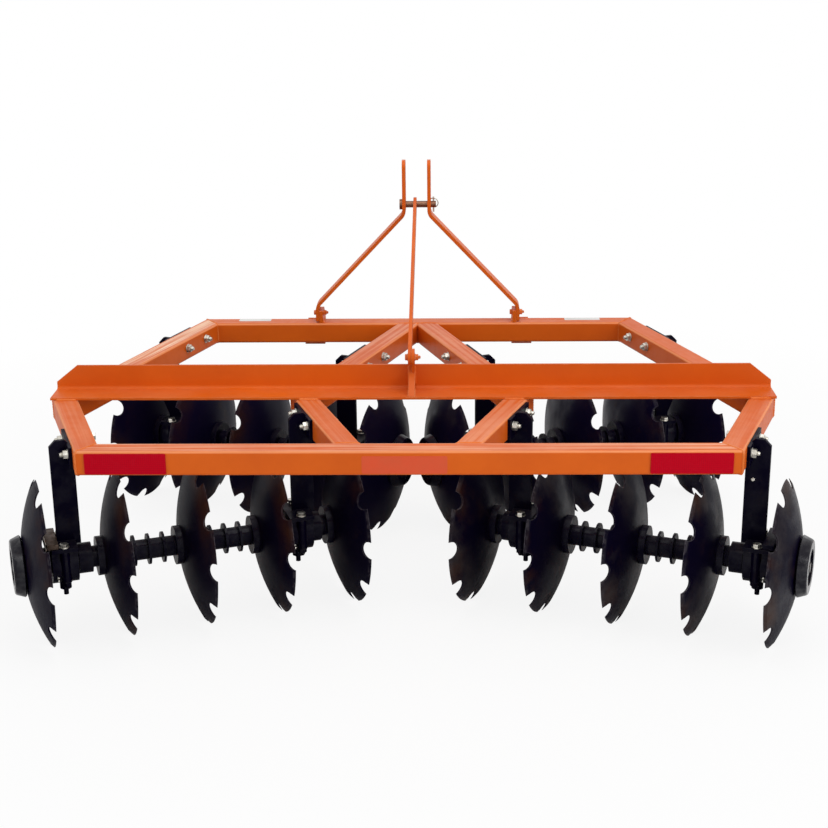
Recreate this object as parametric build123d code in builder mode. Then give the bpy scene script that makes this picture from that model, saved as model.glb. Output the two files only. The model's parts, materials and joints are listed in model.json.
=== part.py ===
from build123d import *
import math
import os

os.makedirs("parts", exist_ok=True)

# Tandem disc harrow for a tractor's three-point hitch. Millimetres, +Z up, +Y towards the tractor,
# +X to the right as seen from behind. The origin is on the ground below the middle of the whole machine.

# Driving sizes of the frame
tube_size = 60
tube_wall = 5
tube_corner = 7
frame_angle = 20            # every slanting tube, and so every gang, is turned by this much
rear_reach = 408            # from the widest corners back to the rear face
front_reach = 771           # from the widest corners forward to the front face

# Driving sizes of the cross angle on top of the frame
angle_depth = 88
angle_height = 68
angle_thickness = 6
angle_bend = 8
angle_overlap = 24          # how far the angle reaches behind the widest corners
angle_chamfer_run = 55
angle_chamfer_rise = 44

# Driving sizes of the discs and gangs
disc_radius = 203
disc_depth = 46
disc_thickness = 4
disc_flat_radius = 52
disc_bevel = 8
disc_edge = 1.2
disc_count = 5
disc_spacing = 190
notch_count = 10
notch_radius = 22
notch_inset = 4             # the notch circle's centre lies this far inside the rim
axle_size = 25.4
axle_fit = 0.15
axle_drop = 302             # from the frame's top down to the axles
rear_axle_back = 38         # the rear axles' lines cross the middle this far behind the widest corners
front_axle_share = 0.43     # and the front axles' lines this share of the front reach ahead of them
rear_hanger_places = (0.5759, 3.6339)  # in disc spacings from the disc beside the bumper
front_hanger_places = (0.798, 3.767)

# Driving sizes of spools, bumpers and nuts
spool_radius = 25
ring_radius = 38
ring_width = 6
ring_places = (44, 80, 116)  # from the next disc's convex face
bell_radius = 48
bell_length = 16
foot_radius = 40
foot_length = 14
bumper_radius = 75           # beside the disc
bumper_end_radius = 67
bumper_length = 26
bumper_edge = 3
bumper_gap = 6              # between the front gangs' bumpers, which meet in the middle
bumper_recess_radius = 44
bumper_recess_depth = 18
nut_across = 41
nut_length = 14
thread_radius = 11.9
nut_fit = 0.1
end_washer_radius = 42
end_washer_length = 12
nut_stick_out = 3

# Driving sizes of bearings and hangers
journal_radius = 28
collar_radius = 37
waist_radius = 26            # between a collar and the bell beside it, where there is room
waist_length = 12
running_clearance = 0.06
housing_radius = 52
housing_length = 62
housing_gap = 3             # between the housing's ends and the collars that turn beside it
housing_seat = 42           # from the axle up to the housing's flat top
housing_bolt_spread = 92
housing_bolt_boss = 12
housing_boss_drop = 34
grease_cup_radius = 14
grease_cup_drop = 71
grease_tip_radius = 6
grease_tip_drop = 88
hanger_width = 57
hanger_thickness = 10
hanger_foot_thickness = 10
hanger_foot_reach = 58
hanger_chamfer = 15
hanger_inner_chamfer = 12
hanger_neck = 18             # the narrow foot of the bar stands this high above the housing
hanger_taper = 45           # height over which the bar narrows to its foot
hanger_overhang = 14        # the bar's foot may stand out this far inward of the housing
hanger_ear_thickness = 8
hanger_ear_reach = 74
hanger_ear_forward = 30      # from the bar's middle to the ear's middle, along the tube
hanger_ear_inset = 4
hanger_offset = 21          # hanger's middle, outward from the tube's outer face
rear_bearing_shift = 16     # bearing's middle, outward from the hanger's middle
front_bearing_shift = -22
rear_hanger_rise = 4        # hanger's top above the frame's top
front_hanger_rise = -9
seat_gap = 0.3

# Driving sizes of the mast, its brace and the hitch plates
strap_thickness = 10
strap_width = 50
strap_foot_drop = 5         # the strap's foot starts this far above the front beam
strap_bend_low = 50
strap_bend_high = 325
strap_top = 480
strap_half_gap = 36.5       # straps' middles above the upper bend
strap_bend_radius = 30
strap_top_radius = 18
mast_pin_height = 351       # above the frame's top
mast_pin_radius = 9.5
mast_hole_radius = 9.7
mast_pin_head_radius = 15
mast_pin_head_length = 8
mast_pin_tail = 15
linch_radius = 2.5
linch_reach = 22
linch_inset = 7             # from the mast pin's tail end to the linch pin
top_link_radius = 9.7
brace_thickness = 9
brace_width = 40
brace_foot_height = 94      # the brace's lower bolt, above the frame's top
brace_bolt_radius = 8
gusset_thickness = 16
gusset_overhang = 4         # the gusset starts this far ahead of the angle's near edge
gusset_ear_radius = 22
gusset_ear_thickness = 8
hitch_spread = 683          # over the outer faces of the outer hitch plates
hitch_plate = 11
hitch_gap = 38
hitch_reach = 72            # from the front beam's face to the plates' noses
hitch_nose_radius = 28
hitch_pin_radius = 11.2
hitch_pin_drop = 52         # below the frame's top
hitch_plate_drop = 80
hitch_outer_drop = 14       # from the frame's top down to the outer plates' tops
hitch_back_thickness = 8
hitch_lug_height = 36
hitch_lug_depth = 56
mast_height = 460           # from the lower hitch pins to the top link's hole
strap_bolt_radius = 7
strap_bolt_height = 26

# Driving sizes of the reflectors
reflector_length = 190
reflector_height = 50
reflector_thickness = 3
reflector_inset = 22        # from the rear beam's outer corner
reflector_top = 5           # below the frame's top

# Places worked out from the sizes
up = Vector(0, 0, 1)
slope = math.tan(math.radians(frame_angle))
sin_a = math.sin(math.radians(frame_angle))
cos_a = math.cos(math.radians(frame_angle))
axle_height = disc_radius
frame_top = axle_height + axle_drop
tube_middle = frame_top - tube_size / 2

# Tubes stand where the gangs' hangers need them, measured along each axle from the middle
front_axle_y = front_axle_share * front_reach
front_first_disc = ((bumper_gap / 2 + bumper_end_radius * sin_a) / cos_a
                    + bumper_length + disc_thickness / 2)
front_faces = [front_first_disc + place * disc_spacing - hanger_offset for place in front_hanger_places]
corner_half_width = (front_faces[1] + front_axle_y * sin_a) / cos_a
rear_outer_face = corner_half_width * cos_a - rear_axle_back * sin_a
rear_first_disc = rear_outer_face + hanger_offset + rear_hanger_places[0] * disc_spacing
rear_faces = [rear_first_disc - place * disc_spacing - hanger_offset for place in rear_hanger_places]
rear_inner_run = rear_reach - tube_size - rear_axle_back
rear_inner_half_gap = (rear_faces[1] - tube_size / 2 - rear_inner_run * sin_a) / cos_a
front_inner_run = front_reach - tube_size - front_axle_y
front_inner_half_gap = (front_faces[0] - tube_size / 2 - front_inner_run * sin_a) / cos_a

# The origin lies midway between the hitch plates' noses and the rearmost rims
rearmost = rear_axle_back + (rear_first_disc - disc_depth) * sin_a + disc_radius * cos_a
corner_y = (rearmost - front_reach - hitch_reach) / 2
rear_face_y = corner_y - rear_reach
front_face_y = corner_y + front_reach
rear_inner_y = rear_face_y + tube_size
front_inner_y = front_face_y - tube_size
beam_y = front_face_y - tube_size / 2
skew_half = tube_size / 2 / cos_a
corner_line = corner_half_width - skew_half
rear_corner = (corner_line - slope * (rear_reach - tube_size / 2), rear_face_y + tube_size / 2)
mid_corner = (corner_line, corner_y)
front_corner = (corner_line - slope * (front_reach - tube_size / 2), beam_y)
inner_mid_y = (front_inner_half_gap - rear_inner_half_gap) / (2 * slope) + (front_inner_y + rear_inner_y) / 2
inner_mid = (front_inner_half_gap + slope * (front_inner_y - inner_mid_y), inner_mid_y)
rear_inner_end = (rear_inner_half_gap, rear_inner_y)
front_inner_end = (front_inner_half_gap, front_inner_y)


def cutting_plane(point, normal):
    """Upright plane through a plan point, with its normal pointing at what is kept."""
    return Plane(origin=(point[0], point[1], tube_middle), z_dir=(normal[0], normal[1], 0))


def square_tube(label, start, end, cuts):
    """Square tube along a plan line, run past both ends and trimmed by the cutting planes."""
    a = Vector(start[0], start[1], tube_middle)
    b = Vector(end[0], end[1], tube_middle)
    along = (b - a).normalized()
    spare = 2 * tube_size
    with BuildPart() as tube:
        with BuildSketch(Plane(origin=a - along * spare, x_dir=up, z_dir=along)):
            RectangleRounded(tube_size, tube_size, tube_corner)
            inside = tube_size - 2 * tube_wall
            RectangleRounded(inside, inside, tube_corner - tube_wall, mode=Mode.SUBTRACT)
        extrude(amount=(b - a).length + 2 * spare)
        for point, normal in cuts:
            split(bisect_by=cutting_plane(point, normal), keep=Keep.TOP)
    tube.part.label = label
    export_step(tube.part, f"parts/{label}.step")
    return tube.part


def unit(start, end):
    length = math.hypot(end[0] - start[0], end[1] - start[1])
    return ((end[0] - start[0]) / length, (end[1] - start[1]) / length)


def mitre(before, corner, after):
    """Normal of the mitre plane at a corner, pointing on along the run of tubes."""
    into = unit(before, corner)
    out = unit(corner, after)
    return (into[0] + out[0], into[1] + out[1])


def flipped(point, side):
    return (side * point[0], point[1])


def opposite(normal):
    return (-normal[0], -normal[1])


# Beams and slanting tubes of the frame, mitred where they meet in a corner
rear_left_corner = flipped(rear_corner, -1)
front_left_corner = flipped(front_corner, -1)
rear_mitre = mitre(rear_left_corner, rear_corner, mid_corner)
front_mitre = mitre(mid_corner, front_corner, front_left_corner)
square_tube("rear_beam", rear_left_corner, rear_corner,
            [(rear_corner, opposite(rear_mitre)), (rear_left_corner, (rear_mitre[0], -rear_mitre[1]))])
square_tube("front_beam", front_left_corner, front_corner,
            [(front_corner, front_mitre), (front_left_corner, (-front_mitre[0], front_mitre[1]))])
for side, hand in ((-1, "left"), (1, "right")):
    square_tube(f"rear_{hand}_tube", flipped(rear_corner, side), flipped(mid_corner, side),
                [(flipped(rear_corner, side), flipped(rear_mitre, side)), (mid_corner, (0, -1))])
    square_tube(f"front_{hand}_tube", flipped(mid_corner, side), flipped(front_corner, side),
                [(mid_corner, (0, 1)), (flipped(front_corner, side), flipped(opposite(front_mitre), side))])
    square_tube(f"rear_{hand}_inner_tube", flipped(rear_inner_end, side), flipped(inner_mid, side),
                [(rear_inner_end, (0, 1)), (inner_mid, (0, -1))])
    square_tube(f"front_{hand}_inner_tube", flipped(inner_mid, side), flipped(front_inner_end, side),
                [(inner_mid, (0, 1)), (front_inner_end, (0, -1)), ((0, front_inner_y), (side, 0))])

# Cross angle: a flat leg on the tubes, and a standing leg at its front edge with both upper corners cut off
angle_near_y = corner_y - angle_overlap
angle_far_y = angle_near_y + angle_depth
with BuildPart() as cross_angle:
    with BuildSketch(Plane.YZ):
        with BuildLine():
            Polyline(
                (angle_near_y, frame_top),
                (angle_far_y, frame_top),
                (angle_far_y, frame_top + angle_height),
                (angle_far_y - angle_thickness, frame_top + angle_height),
                (angle_far_y - angle_thickness, frame_top + angle_thickness),
                (angle_near_y, frame_top + angle_thickness),
                close=True,
            )
        make_face()
    extrude(amount=corner_half_width, both=True)
    root_edge = cross_angle.edges().filter_by(Axis.X).sort_by(
        lambda edge: abs(edge.center().Y - angle_far_y + angle_thickness)
        + abs(edge.center().Z - frame_top - angle_thickness))[0]
    fillet(root_edge, radius=angle_bend)
    with BuildSketch(Plane.XZ.offset(-angle_near_y)):
        for side in (-1, 1):
            with BuildLine():
                Polyline(
                    (side * corner_half_width, frame_top + angle_height),
                    (side * (corner_half_width - angle_chamfer_run), frame_top + angle_height),
                    (side * corner_half_width, frame_top + angle_height - angle_chamfer_rise),
                    close=True,
                )
            make_face()
    extrude(amount=-angle_depth, mode=Mode.SUBTRACT)
cross_angle.part.label = "cross_angle"
export_step(cross_angle.part, "parts/cross_angle.step")

# Gusset in the corner of the cross angle, with an ear for the brace's lower bolt
leg_face_y = angle_far_y - angle_thickness
brace_foot = (leg_face_y - gusset_ear_radius, frame_top + brace_foot_height)
brace_head = (beam_y, frame_top + mast_pin_height)
with BuildPart() as brace_gusset:
    with BuildSketch(Plane.YZ):
        with BuildLine():
            Polyline(
                (angle_near_y + gusset_overhang, frame_top + angle_thickness),
                (leg_face_y - angle_bend, frame_top + angle_thickness),
                (leg_face_y, frame_top + angle_thickness + angle_bend),
                (leg_face_y, frame_top + angle_height),
                close=True,
            )
        make_face()
    extrude(amount=gusset_thickness / 2, both=True)
    with BuildSketch(Plane.YZ):
        with BuildLine():
            Polyline(
                (leg_face_y, frame_top + angle_thickness + angle_bend),
                (leg_face_y, brace_foot[1]),
                (leg_face_y - 2 * gusset_ear_radius, brace_foot[1]),
                close=True,
            )
        make_face()
        with Locations(brace_foot):
            Circle(gusset_ear_radius)
            Circle(brace_bolt_radius, mode=Mode.SUBTRACT)
    extrude(amount=gusset_ear_thickness)
brace_gusset.part.label = "brace_gusset"
export_step(brace_gusset.part, "parts/brace_gusset.step")

# Brace: a flat bar with round ends from the gusset up to the mast pin
brace_run = brace_head[0] - brace_foot[0]
brace_rise = brace_head[1] - brace_foot[1]
brace_middle = ((brace_head[0] + brace_foot[0]) / 2, (brace_head[1] + brace_foot[1]) / 2)
with BuildPart() as rear_brace:
    with BuildSketch(Plane.YZ):
        with Locations(Location((*brace_middle, 0), (0, 0, math.degrees(math.atan2(brace_rise, brace_run))))):
            SlotCenterToCenter(math.hypot(brace_run, brace_rise), brace_width)
        with Locations(brace_head):
            Circle(mast_hole_radius, mode=Mode.SUBTRACT)
        with Locations(brace_foot):
            Circle(brace_bolt_radius, mode=Mode.SUBTRACT)
    extrude(amount=-brace_thickness)
rear_brace.part.label = "rear_brace"
export_step(rear_brace.part, "parts/rear_brace.step")

# Hitch plates: on each side an inner and an outer plate in front of the beam, with the lower link's gap
# between them. The inner plate also stands up over the beam as the lug that carries the mast strap, and a
# plate against the beam's face joins the two.
outer_plate_x = hitch_spread / 2 - hitch_plate
inner_plate_x = outer_plate_x - hitch_gap - hitch_plate
hitch_pin_place = (front_face_y + hitch_reach - hitch_nose_radius, frame_top - hitch_pin_drop)
nose_low = frame_top - hitch_plate_drop
lug_back = front_face_y - hitch_lug_depth
strap_bolt = (beam_y, frame_top + strap_bolt_height)
for side, hand in ((-1, "left"), (1, "right")):
    with BuildPart() as hitch_plates:
        for plate_x, plate_top, with_lug in (
            (inner_plate_x, frame_top, True),
            (outer_plate_x, frame_top - hitch_outer_drop, False),
        ):
            with BuildSketch(Plane.YZ.offset(side * plate_x)):
                with BuildLine():
                    Polyline(
                        (front_face_y, nose_low),
                        (hitch_pin_place[0], nose_low),
                        (hitch_pin_place[0] + hitch_nose_radius, hitch_pin_place[1]),
                        (hitch_pin_place[0], plate_top),
                        (front_face_y, plate_top),
                        close=True,
                    )
                make_face()
                with Locations(hitch_pin_place):
                    Circle(hitch_nose_radius)
                if with_lug:
                    with BuildLine():
                        Polyline(
                            (lug_back, frame_top),
                            (hitch_pin_place[0], frame_top),
                            (front_face_y, frame_top + hitch_lug_height),
                            (lug_back, frame_top + hitch_lug_height),
                            close=True,
                        )
                    make_face()
                    with Locations(strap_bolt):
                        Circle(strap_bolt_radius, mode=Mode.SUBTRACT)
                with Locations(hitch_pin_place):
                    Circle(hitch_pin_radius, mode=Mode.SUBTRACT)
            extrude(amount=side * hitch_plate)
        back_span = outer_plate_x - inner_plate_x
        with BuildSketch(Plane.XZ.offset(-front_face_y)):
            with Locations((side * (inner_plate_x + back_span / 2), frame_top - hitch_plate_drop / 2)):
                Rectangle(back_span, hitch_plate_drop)
        extrude(amount=-hitch_back_thickness)
    hitch_plates.part.label = f"hitch_plates_{hand}"
    export_step(hitch_plates.part, f"parts/hitch_plates_{hand}.step")

# Mast: two bent straps that stand on the lugs and come together above the beam
strap_foot_x = inner_plate_x + hitch_plate + strap_thickness / 2
top_link_height = frame_top - hitch_pin_drop + mast_height
for side, hand in ((-1, "left"), (1, "right")):
    with BuildPart() as mast_strap:
        with BuildLine(Plane.XZ.offset(-beam_y)) as strap_line:
            FilletPolyline(
                (side * strap_foot_x, frame_top + strap_foot_drop),
                (side * strap_foot_x, frame_top + strap_bend_low),
                (side * strap_half_gap, frame_top + strap_bend_high),
                (side * strap_half_gap, frame_top + strap_top),
                radius=strap_bend_radius,
            )
        with BuildSketch(Plane(origin=strap_line.line @ 0, x_dir=(0, 1, 0), z_dir=strap_line.line % 0)):
            Rectangle(strap_width, strap_thickness)
        sweep()
        fillet(mast_strap.edges().filter_by(Axis.X).sort_by(Axis.Z)[-2:], radius=strap_top_radius)
        for hole_z, hole_radius in (
            (frame_top + mast_pin_height, mast_hole_radius),
            (top_link_height, top_link_radius),
            (strap_bolt[1], strap_bolt_radius),
        ):
            with BuildSketch(Plane.YZ):
                with Locations((beam_y, hole_z)):
                    Circle(hole_radius)
            extrude(amount=side * hitch_spread, mode=Mode.SUBTRACT)
    mast_strap.part.label = f"mast_strap_{hand}"
    export_step(mast_strap.part, f"parts/mast_strap_{hand}.step")

# Mast pin with its head on the left, and the linch pin through its tail
strap_outside = strap_half_gap + strap_thickness / 2
pin_tail_x = strap_outside + mast_pin_tail
linch_x = pin_tail_x - linch_inset
with BuildPart() as mast_pin:
    with BuildSketch(Plane.YZ.offset(-strap_outside - seat_gap)):
        with Locations(brace_head):
            Circle(mast_pin_radius)
    extrude(amount=strap_outside + seat_gap + pin_tail_x)
    with BuildSketch(Plane.YZ.offset(-strap_outside - seat_gap)):
        with Locations(brace_head):
            Circle(mast_pin_head_radius)
    extrude(amount=-mast_pin_head_length)
    with BuildSketch(Plane.XY.offset(brace_head[1])):
        with Locations((linch_x, brace_head[0])):
            Circle(linch_radius + nut_fit)
    extrude(amount=mast_pin_head_radius, both=True, mode=Mode.SUBTRACT)
mast_pin.part.label = "mast_pin"
export_step(mast_pin.part, "parts/mast_pin.step")

with BuildPart() as linch_pin:
    with BuildSketch(Plane.XY.offset(brace_head[1] - linch_reach)):
        with Locations((linch_x, brace_head[0])):
            Circle(linch_radius)
    extrude(amount=2 * linch_reach)
linch_pin.part.label = "linch_pin"
export_step(linch_pin.part, "parts/linch_pin.step")

# Reflectors near both ends of the rear beam's rear face
rear_outer_corner = corner_half_width - slope * rear_reach
reflector_x = rear_outer_corner - reflector_inset - reflector_length / 2
with BuildPart() as reflectors:
    with BuildSketch(Plane.XZ.offset(-rear_face_y)):
        with Locations(*((side * reflector_x, frame_top - reflector_top - reflector_height / 2)
                         for side in (-1, 1))):
            RectangleRounded(reflector_length, reflector_height, reflector_thickness)
    extrude(amount=reflector_thickness)
reflectors.part.label = "reflectors"
export_step(reflectors.part, "parts/reflectors.step")

# The discs' round shape: part of a sphere round a flat middle, hollow on the side away from the bumper
sphere_centre = (disc_radius**2 - disc_flat_radius**2 + disc_depth**2) / (2 * disc_depth)
sphere_radius = math.hypot(sphere_centre, disc_flat_radius)


def dish(radius):
    """How far the disc's convex face lies behind its flat middle at a radius."""
    return sphere_centre - math.sqrt(sphere_radius**2 - radius**2)


def axle_hole(size):
    """Square hole along the axle through the piece in hand."""
    return Rectangle(size, size)


def gang(name, side, end, axle_y, first_disc, tube_faces, bearing_shift, hanger_rise):
    """Five discs on a square axle with spools between them, and the bearings and hangers that carry it.

    Along the axle, zero is the middle of the disc beside the bumper, and the convex faces look to plus.
    """
    out = Vector(side * cos_a, end * sin_a, 0)
    convex = out if end < 0 else out * -1
    origin = Vector(0, corner_y + axle_y, axle_height) + out * first_disc
    lengthwise = Plane(origin=origin, x_dir=convex, z_dir=convex.cross(up))
    axis = Axis(origin, convex)

    def across(place):
        return Plane(origin=origin + convex * place, x_dir=up, z_dir=convex)

    half = disc_thickness / 2
    last_disc = -(disc_count - 1) * disc_spacing
    inward = -1 if end < 0 else 1
    bars = [inward * (first_disc - face - hanger_offset) for face in tube_faces]
    bearings = [bar - inward * bearing_shift for bar in bars]

    with BuildPart() as discs:
        for number in range(disc_count):
            front = half - number * disc_spacing
            back = front - disc_thickness
            rim = front - dish(disc_radius) - disc_thickness
            with BuildSketch(lengthwise):
                with BuildLine():
                    inner = Polyline((back, disc_flat_radius), (back, 0), (front, 0), (front, disc_flat_radius))
                    shoulder = (front - dish(disc_radius - disc_bevel), disc_radius - disc_bevel)
                    RadiusArc(inner @ 1, shoulder, -sphere_radius)
                    edge = Polyline(shoulder, (rim + disc_edge, disc_radius), (rim, disc_radius))
                    RadiusArc(edge @ 1, inner @ 0, sphere_radius)
                make_face()
            revolve(axis=axis)
        with BuildSketch(across(last_disc - disc_depth - disc_thickness)):
            axle_hole(axle_size + 2 * axle_fit)
            with PolarLocations(disc_radius - notch_inset, notch_count, start_angle=180 / notch_count):
                Circle(notch_radius)
        extrude(amount=-last_disc + disc_depth + 2 * disc_thickness, mode=Mode.SUBTRACT)
    discs.part.label = f"{name}_discs"
    export_step(discs.part, f"parts/{name}_discs.step")

    with BuildPart() as spools:
        for number in range(disc_count - 1):
            high = -half - number * disc_spacing
            low = half - (number + 1) * disc_spacing
            nearby = [place for place in bearings if low < place < high]
            profile = [(low, 0), (low, bell_radius), (low + bell_length, bell_radius)]
            if nearby:
                for end_place in (-1, 1):
                    shoulder = nearby[0] + end_place * (housing_length / 2 + housing_gap)
                    steps = [(shoulder, collar_radius), (shoulder, journal_radius)]
                    if end_place < 0:
                        collar_start = low + bell_length
                        if shoulder - collar_start > 2 * waist_length:
                            profile += [(collar_start, waist_radius)]
                            collar_start += waist_length
                            profile += [(collar_start, waist_radius)]
                        profile += [(collar_start, collar_radius)] + steps
                    else:
                        profile += steps[::-1]
                profile += [(high, collar_radius), (high, 0)]
            else:
                profile += [(low + bell_length, spool_radius)]
                for place in ring_places:
                    start = low + place - ring_width / 2
                    profile += [(start, spool_radius), (start, ring_radius)]
                    profile += [(start + ring_width, ring_radius), (start + ring_width, spool_radius)]
                foot = high - foot_length
                profile += [(foot, spool_radius), (foot, foot_radius), (high, foot_radius), (high, 0)]
            with BuildSketch(lengthwise):
                with BuildLine():
                    Polyline(*profile, close=True)
                make_face()
            revolve(axis=axis)
        with BuildSketch(across(last_disc)):
            axle_hole(axle_size + 2 * axle_fit)
        extrude(amount=-last_disc, mode=Mode.SUBTRACT)
    spools.part.label = f"{name}_spools"
    export_step(spools.part, f"parts/{name}_spools.step")

    bumper_end = half + bumper_length
    recess_floor = bumper_end - bumper_recess_depth
    low_end = last_disc - half - end_washer_length
    with BuildPart() as ends:
        with BuildSketch(lengthwise):
            with BuildLine():
                Polyline(
                    (half, 0), (half, bumper_radius - bumper_edge), (half + bumper_edge, bumper_radius),
                    (bumper_end - bumper_edge, bumper_end_radius),
                    (bumper_end, bumper_end_radius - bumper_edge),
                    (bumper_end, bumper_recess_radius), (recess_floor, bumper_recess_radius),
                    (recess_floor, 0), close=True,
                )
            make_face()
            with BuildLine():
                Polyline((low_end, 0), (low_end, end_washer_radius), (last_disc - half, end_washer_radius),
                         (last_disc - half, 0), close=True)
            make_face()
        revolve(axis=axis)
        with BuildSketch(across(low_end)):
            axle_hole(axle_size + 2 * axle_fit)
        extrude(amount=recess_floor - low_end, mode=Mode.SUBTRACT)
        for start, reach in ((recess_floor, nut_length), (low_end, -nut_length)):
            with BuildSketch(across(start)):
                RegularPolygon(nut_across / 2, 6, major_radius=False)
                Circle(thread_radius + nut_fit, mode=Mode.SUBTRACT)
            extrude(amount=reach)
    ends.part.label = f"{name}_end_fittings"
    export_step(ends.part, f"parts/{name}_end_fittings.step")

    with BuildPart() as axle:
        with BuildSketch(across(low_end)):
            axle_hole(axle_size)
        extrude(amount=recess_floor - low_end)
        for start, reach in ((recess_floor, 1), (low_end, -1)):
            with BuildSketch(across(start)):
                Circle(thread_radius)
            extrude(amount=reach * (nut_length + nut_stick_out))
    axle.part.label = f"{name}_axle"
    export_step(axle.part, f"parts/{name}_axle.step")

    with BuildPart() as housings:
        for place in bearings:
            middle = origin + convex * place
            with BuildSketch(Plane(origin=middle, x_dir=up, z_dir=convex)):
                Circle(housing_radius)
                with Locations((housing_seat / 2, 0)):
                    Rectangle(housing_seat, housing_bolt_spread)
                with Locations((housing_seat + housing_radius / 2, 0)):
                    Rectangle(housing_radius, 2 * housing_radius, mode=Mode.SUBTRACT)
            extrude(amount=housing_length / 2, both=True)
            sideways = convex.cross(up)
            for way in (-1, 1):
                boss = middle + sideways * (way * housing_bolt_spread / 2) + up * housing_seat
                with BuildSketch(Plane(origin=boss, x_dir=convex, z_dir=up)):
                    Circle(housing_bolt_boss)
                extrude(amount=-housing_seat - housing_boss_drop)
            for radius, drop in ((grease_cup_radius, grease_cup_drop), (grease_tip_radius, grease_tip_drop)):
                with BuildSketch(Plane(origin=middle, x_dir=convex, z_dir=up)):
                    Circle(radius)
                extrude(amount=-drop)
            with BuildSketch(Plane(origin=middle, x_dir=up, z_dir=convex)):
                Circle(journal_radius + running_clearance)
            extrude(amount=housing_length / 2, both=True, mode=Mode.SUBTRACT)
    housings.part.label = f"{name}_bearing_housings"
    export_step(housings.part, f"parts/{name}_bearing_housings.step")

    outside = hanger_width / 2
    top = axle_drop + hanger_rise
    neck = housing_seat + hanger_neck
    narrow = neck + hanger_taper
    low_inner = max(-outside, bearing_shift - housing_length / 2 - hanger_overhang)
    low_outer = min(outside, bearing_shift + housing_length / 2)
    under_tube = axle_drop - tube_size - seat_gap
    tube_side = -hanger_offset
    with BuildPart() as hangers:
        for place in bars:
            middle = origin + convex * place
            upright = Plane(origin=middle, x_dir=out, z_dir=out.cross(up))
            with BuildSketch(upright):
                with BuildLine():
                    Polyline(
                        (low_inner, housing_seat), (low_outer, housing_seat),
                        (low_outer, neck), (outside, narrow),
                        (outside, top - hanger_chamfer), (outside - hanger_chamfer, top),
                        (tube_side + hanger_inner_chamfer, top), (tube_side, top - hanger_inner_chamfer),
                        (-outside, top - hanger_inner_chamfer), (-outside, narrow),
                        (low_inner, neck), close=True,
                    )
                make_face()
                with Locations((tube_side - tube_size / 2, under_tube + tube_size)):
                    Rectangle(tube_size, 2 * tube_size, mode=Mode.SUBTRACT)
            extrude(amount=hanger_thickness / 2, both=True)
            with BuildSketch(upright):
                with Locations((bearing_shift, housing_seat + hanger_foot_thickness / 2)):
                    Rectangle(housing_length, hanger_foot_thickness)
            extrude(amount=hanger_foot_reach, both=True)
            with BuildSketch(upright.offset(-side * hanger_ear_forward)):
                with Locations((tube_side + hanger_ear_thickness / 2, axle_drop - tube_size / 2)):
                    Rectangle(hanger_ear_thickness, tube_size - 2 * hanger_ear_inset)
            extrude(amount=hanger_ear_reach, both=True)
    hangers.part.label = f"{name}_hangers"
    export_step(hangers.part, f"parts/{name}_hangers.step")


gang_table = (
    # end, its name, where its axle lines cross, first disc, tube faces, bearing shift, hanger rise
    (-1, "rear", -rear_axle_back, rear_first_disc, rear_faces, rear_bearing_shift, rear_hanger_rise),
    (1, "front", front_axle_y, front_first_disc, front_faces, front_bearing_shift, front_hanger_rise),
)
for end, end_name, axle_y, first_disc, tube_faces, bearing_shift, hanger_rise in gang_table:
    for side, hand in ((-1, "left"), (1, "right")):
        gang(f"{end_name}_{hand}", side, end, axle_y, first_disc, tube_faces, bearing_shift, hanger_rise)
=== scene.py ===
# %% [markdown]
# # Dressing a tandem disc harrow
# The object is a farm implement that a small tractor carries on its three-point hitch: an orange frame of
# square tube, a mast, and four gangs of dark notched discs. Its solids come from a CAD model, and this lesson
# adds what a CAD model leaves out: paint, rust, weld beads, bolts, and the light it stands in. Every length
# is in metres, and every piece is put where the CAD model says, so nothing has to be fitted by eye.

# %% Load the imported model
import json
import math
import random

import bmesh
import bpy
from mathutils import Matrix, Vector


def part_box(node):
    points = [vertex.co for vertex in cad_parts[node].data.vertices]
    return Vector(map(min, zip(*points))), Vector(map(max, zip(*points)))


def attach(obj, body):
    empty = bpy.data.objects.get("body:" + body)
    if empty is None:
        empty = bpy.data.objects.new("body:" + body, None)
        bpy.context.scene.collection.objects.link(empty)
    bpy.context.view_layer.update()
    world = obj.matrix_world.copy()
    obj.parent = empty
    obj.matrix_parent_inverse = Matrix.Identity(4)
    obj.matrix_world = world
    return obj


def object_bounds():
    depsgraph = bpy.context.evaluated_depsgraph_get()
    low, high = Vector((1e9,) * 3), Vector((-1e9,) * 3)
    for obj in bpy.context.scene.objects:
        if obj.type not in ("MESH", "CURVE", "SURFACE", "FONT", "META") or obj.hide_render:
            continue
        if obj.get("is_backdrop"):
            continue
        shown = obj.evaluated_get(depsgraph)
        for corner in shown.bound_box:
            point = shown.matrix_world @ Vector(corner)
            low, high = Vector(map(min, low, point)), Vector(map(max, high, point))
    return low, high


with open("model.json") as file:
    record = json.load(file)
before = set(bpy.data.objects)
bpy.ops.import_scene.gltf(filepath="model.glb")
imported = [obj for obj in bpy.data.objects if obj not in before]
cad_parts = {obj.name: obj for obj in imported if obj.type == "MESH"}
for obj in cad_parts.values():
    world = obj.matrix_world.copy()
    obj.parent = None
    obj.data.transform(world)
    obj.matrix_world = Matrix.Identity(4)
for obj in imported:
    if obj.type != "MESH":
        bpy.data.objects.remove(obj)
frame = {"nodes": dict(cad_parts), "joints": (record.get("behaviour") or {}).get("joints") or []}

cad_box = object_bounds()
nodes = frame["nodes"]
dice = random.Random(7)
up = Vector((0, 0, 1))
print("nodes", len(nodes), "box", [round(v, 3) for corner in cad_box for v in corner])

# %% [markdown]
# ## Measures of the frame
# Bolts, weld beads and films have to lie on the CAD model's own faces. The frame is square tube that slants
# by 20 degrees, out from the rear beam to the widest place and in again to the front beam. So the box round
# each tube and this angle give every corner, every bend and every crossing of the tubes' middle lines.

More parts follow.
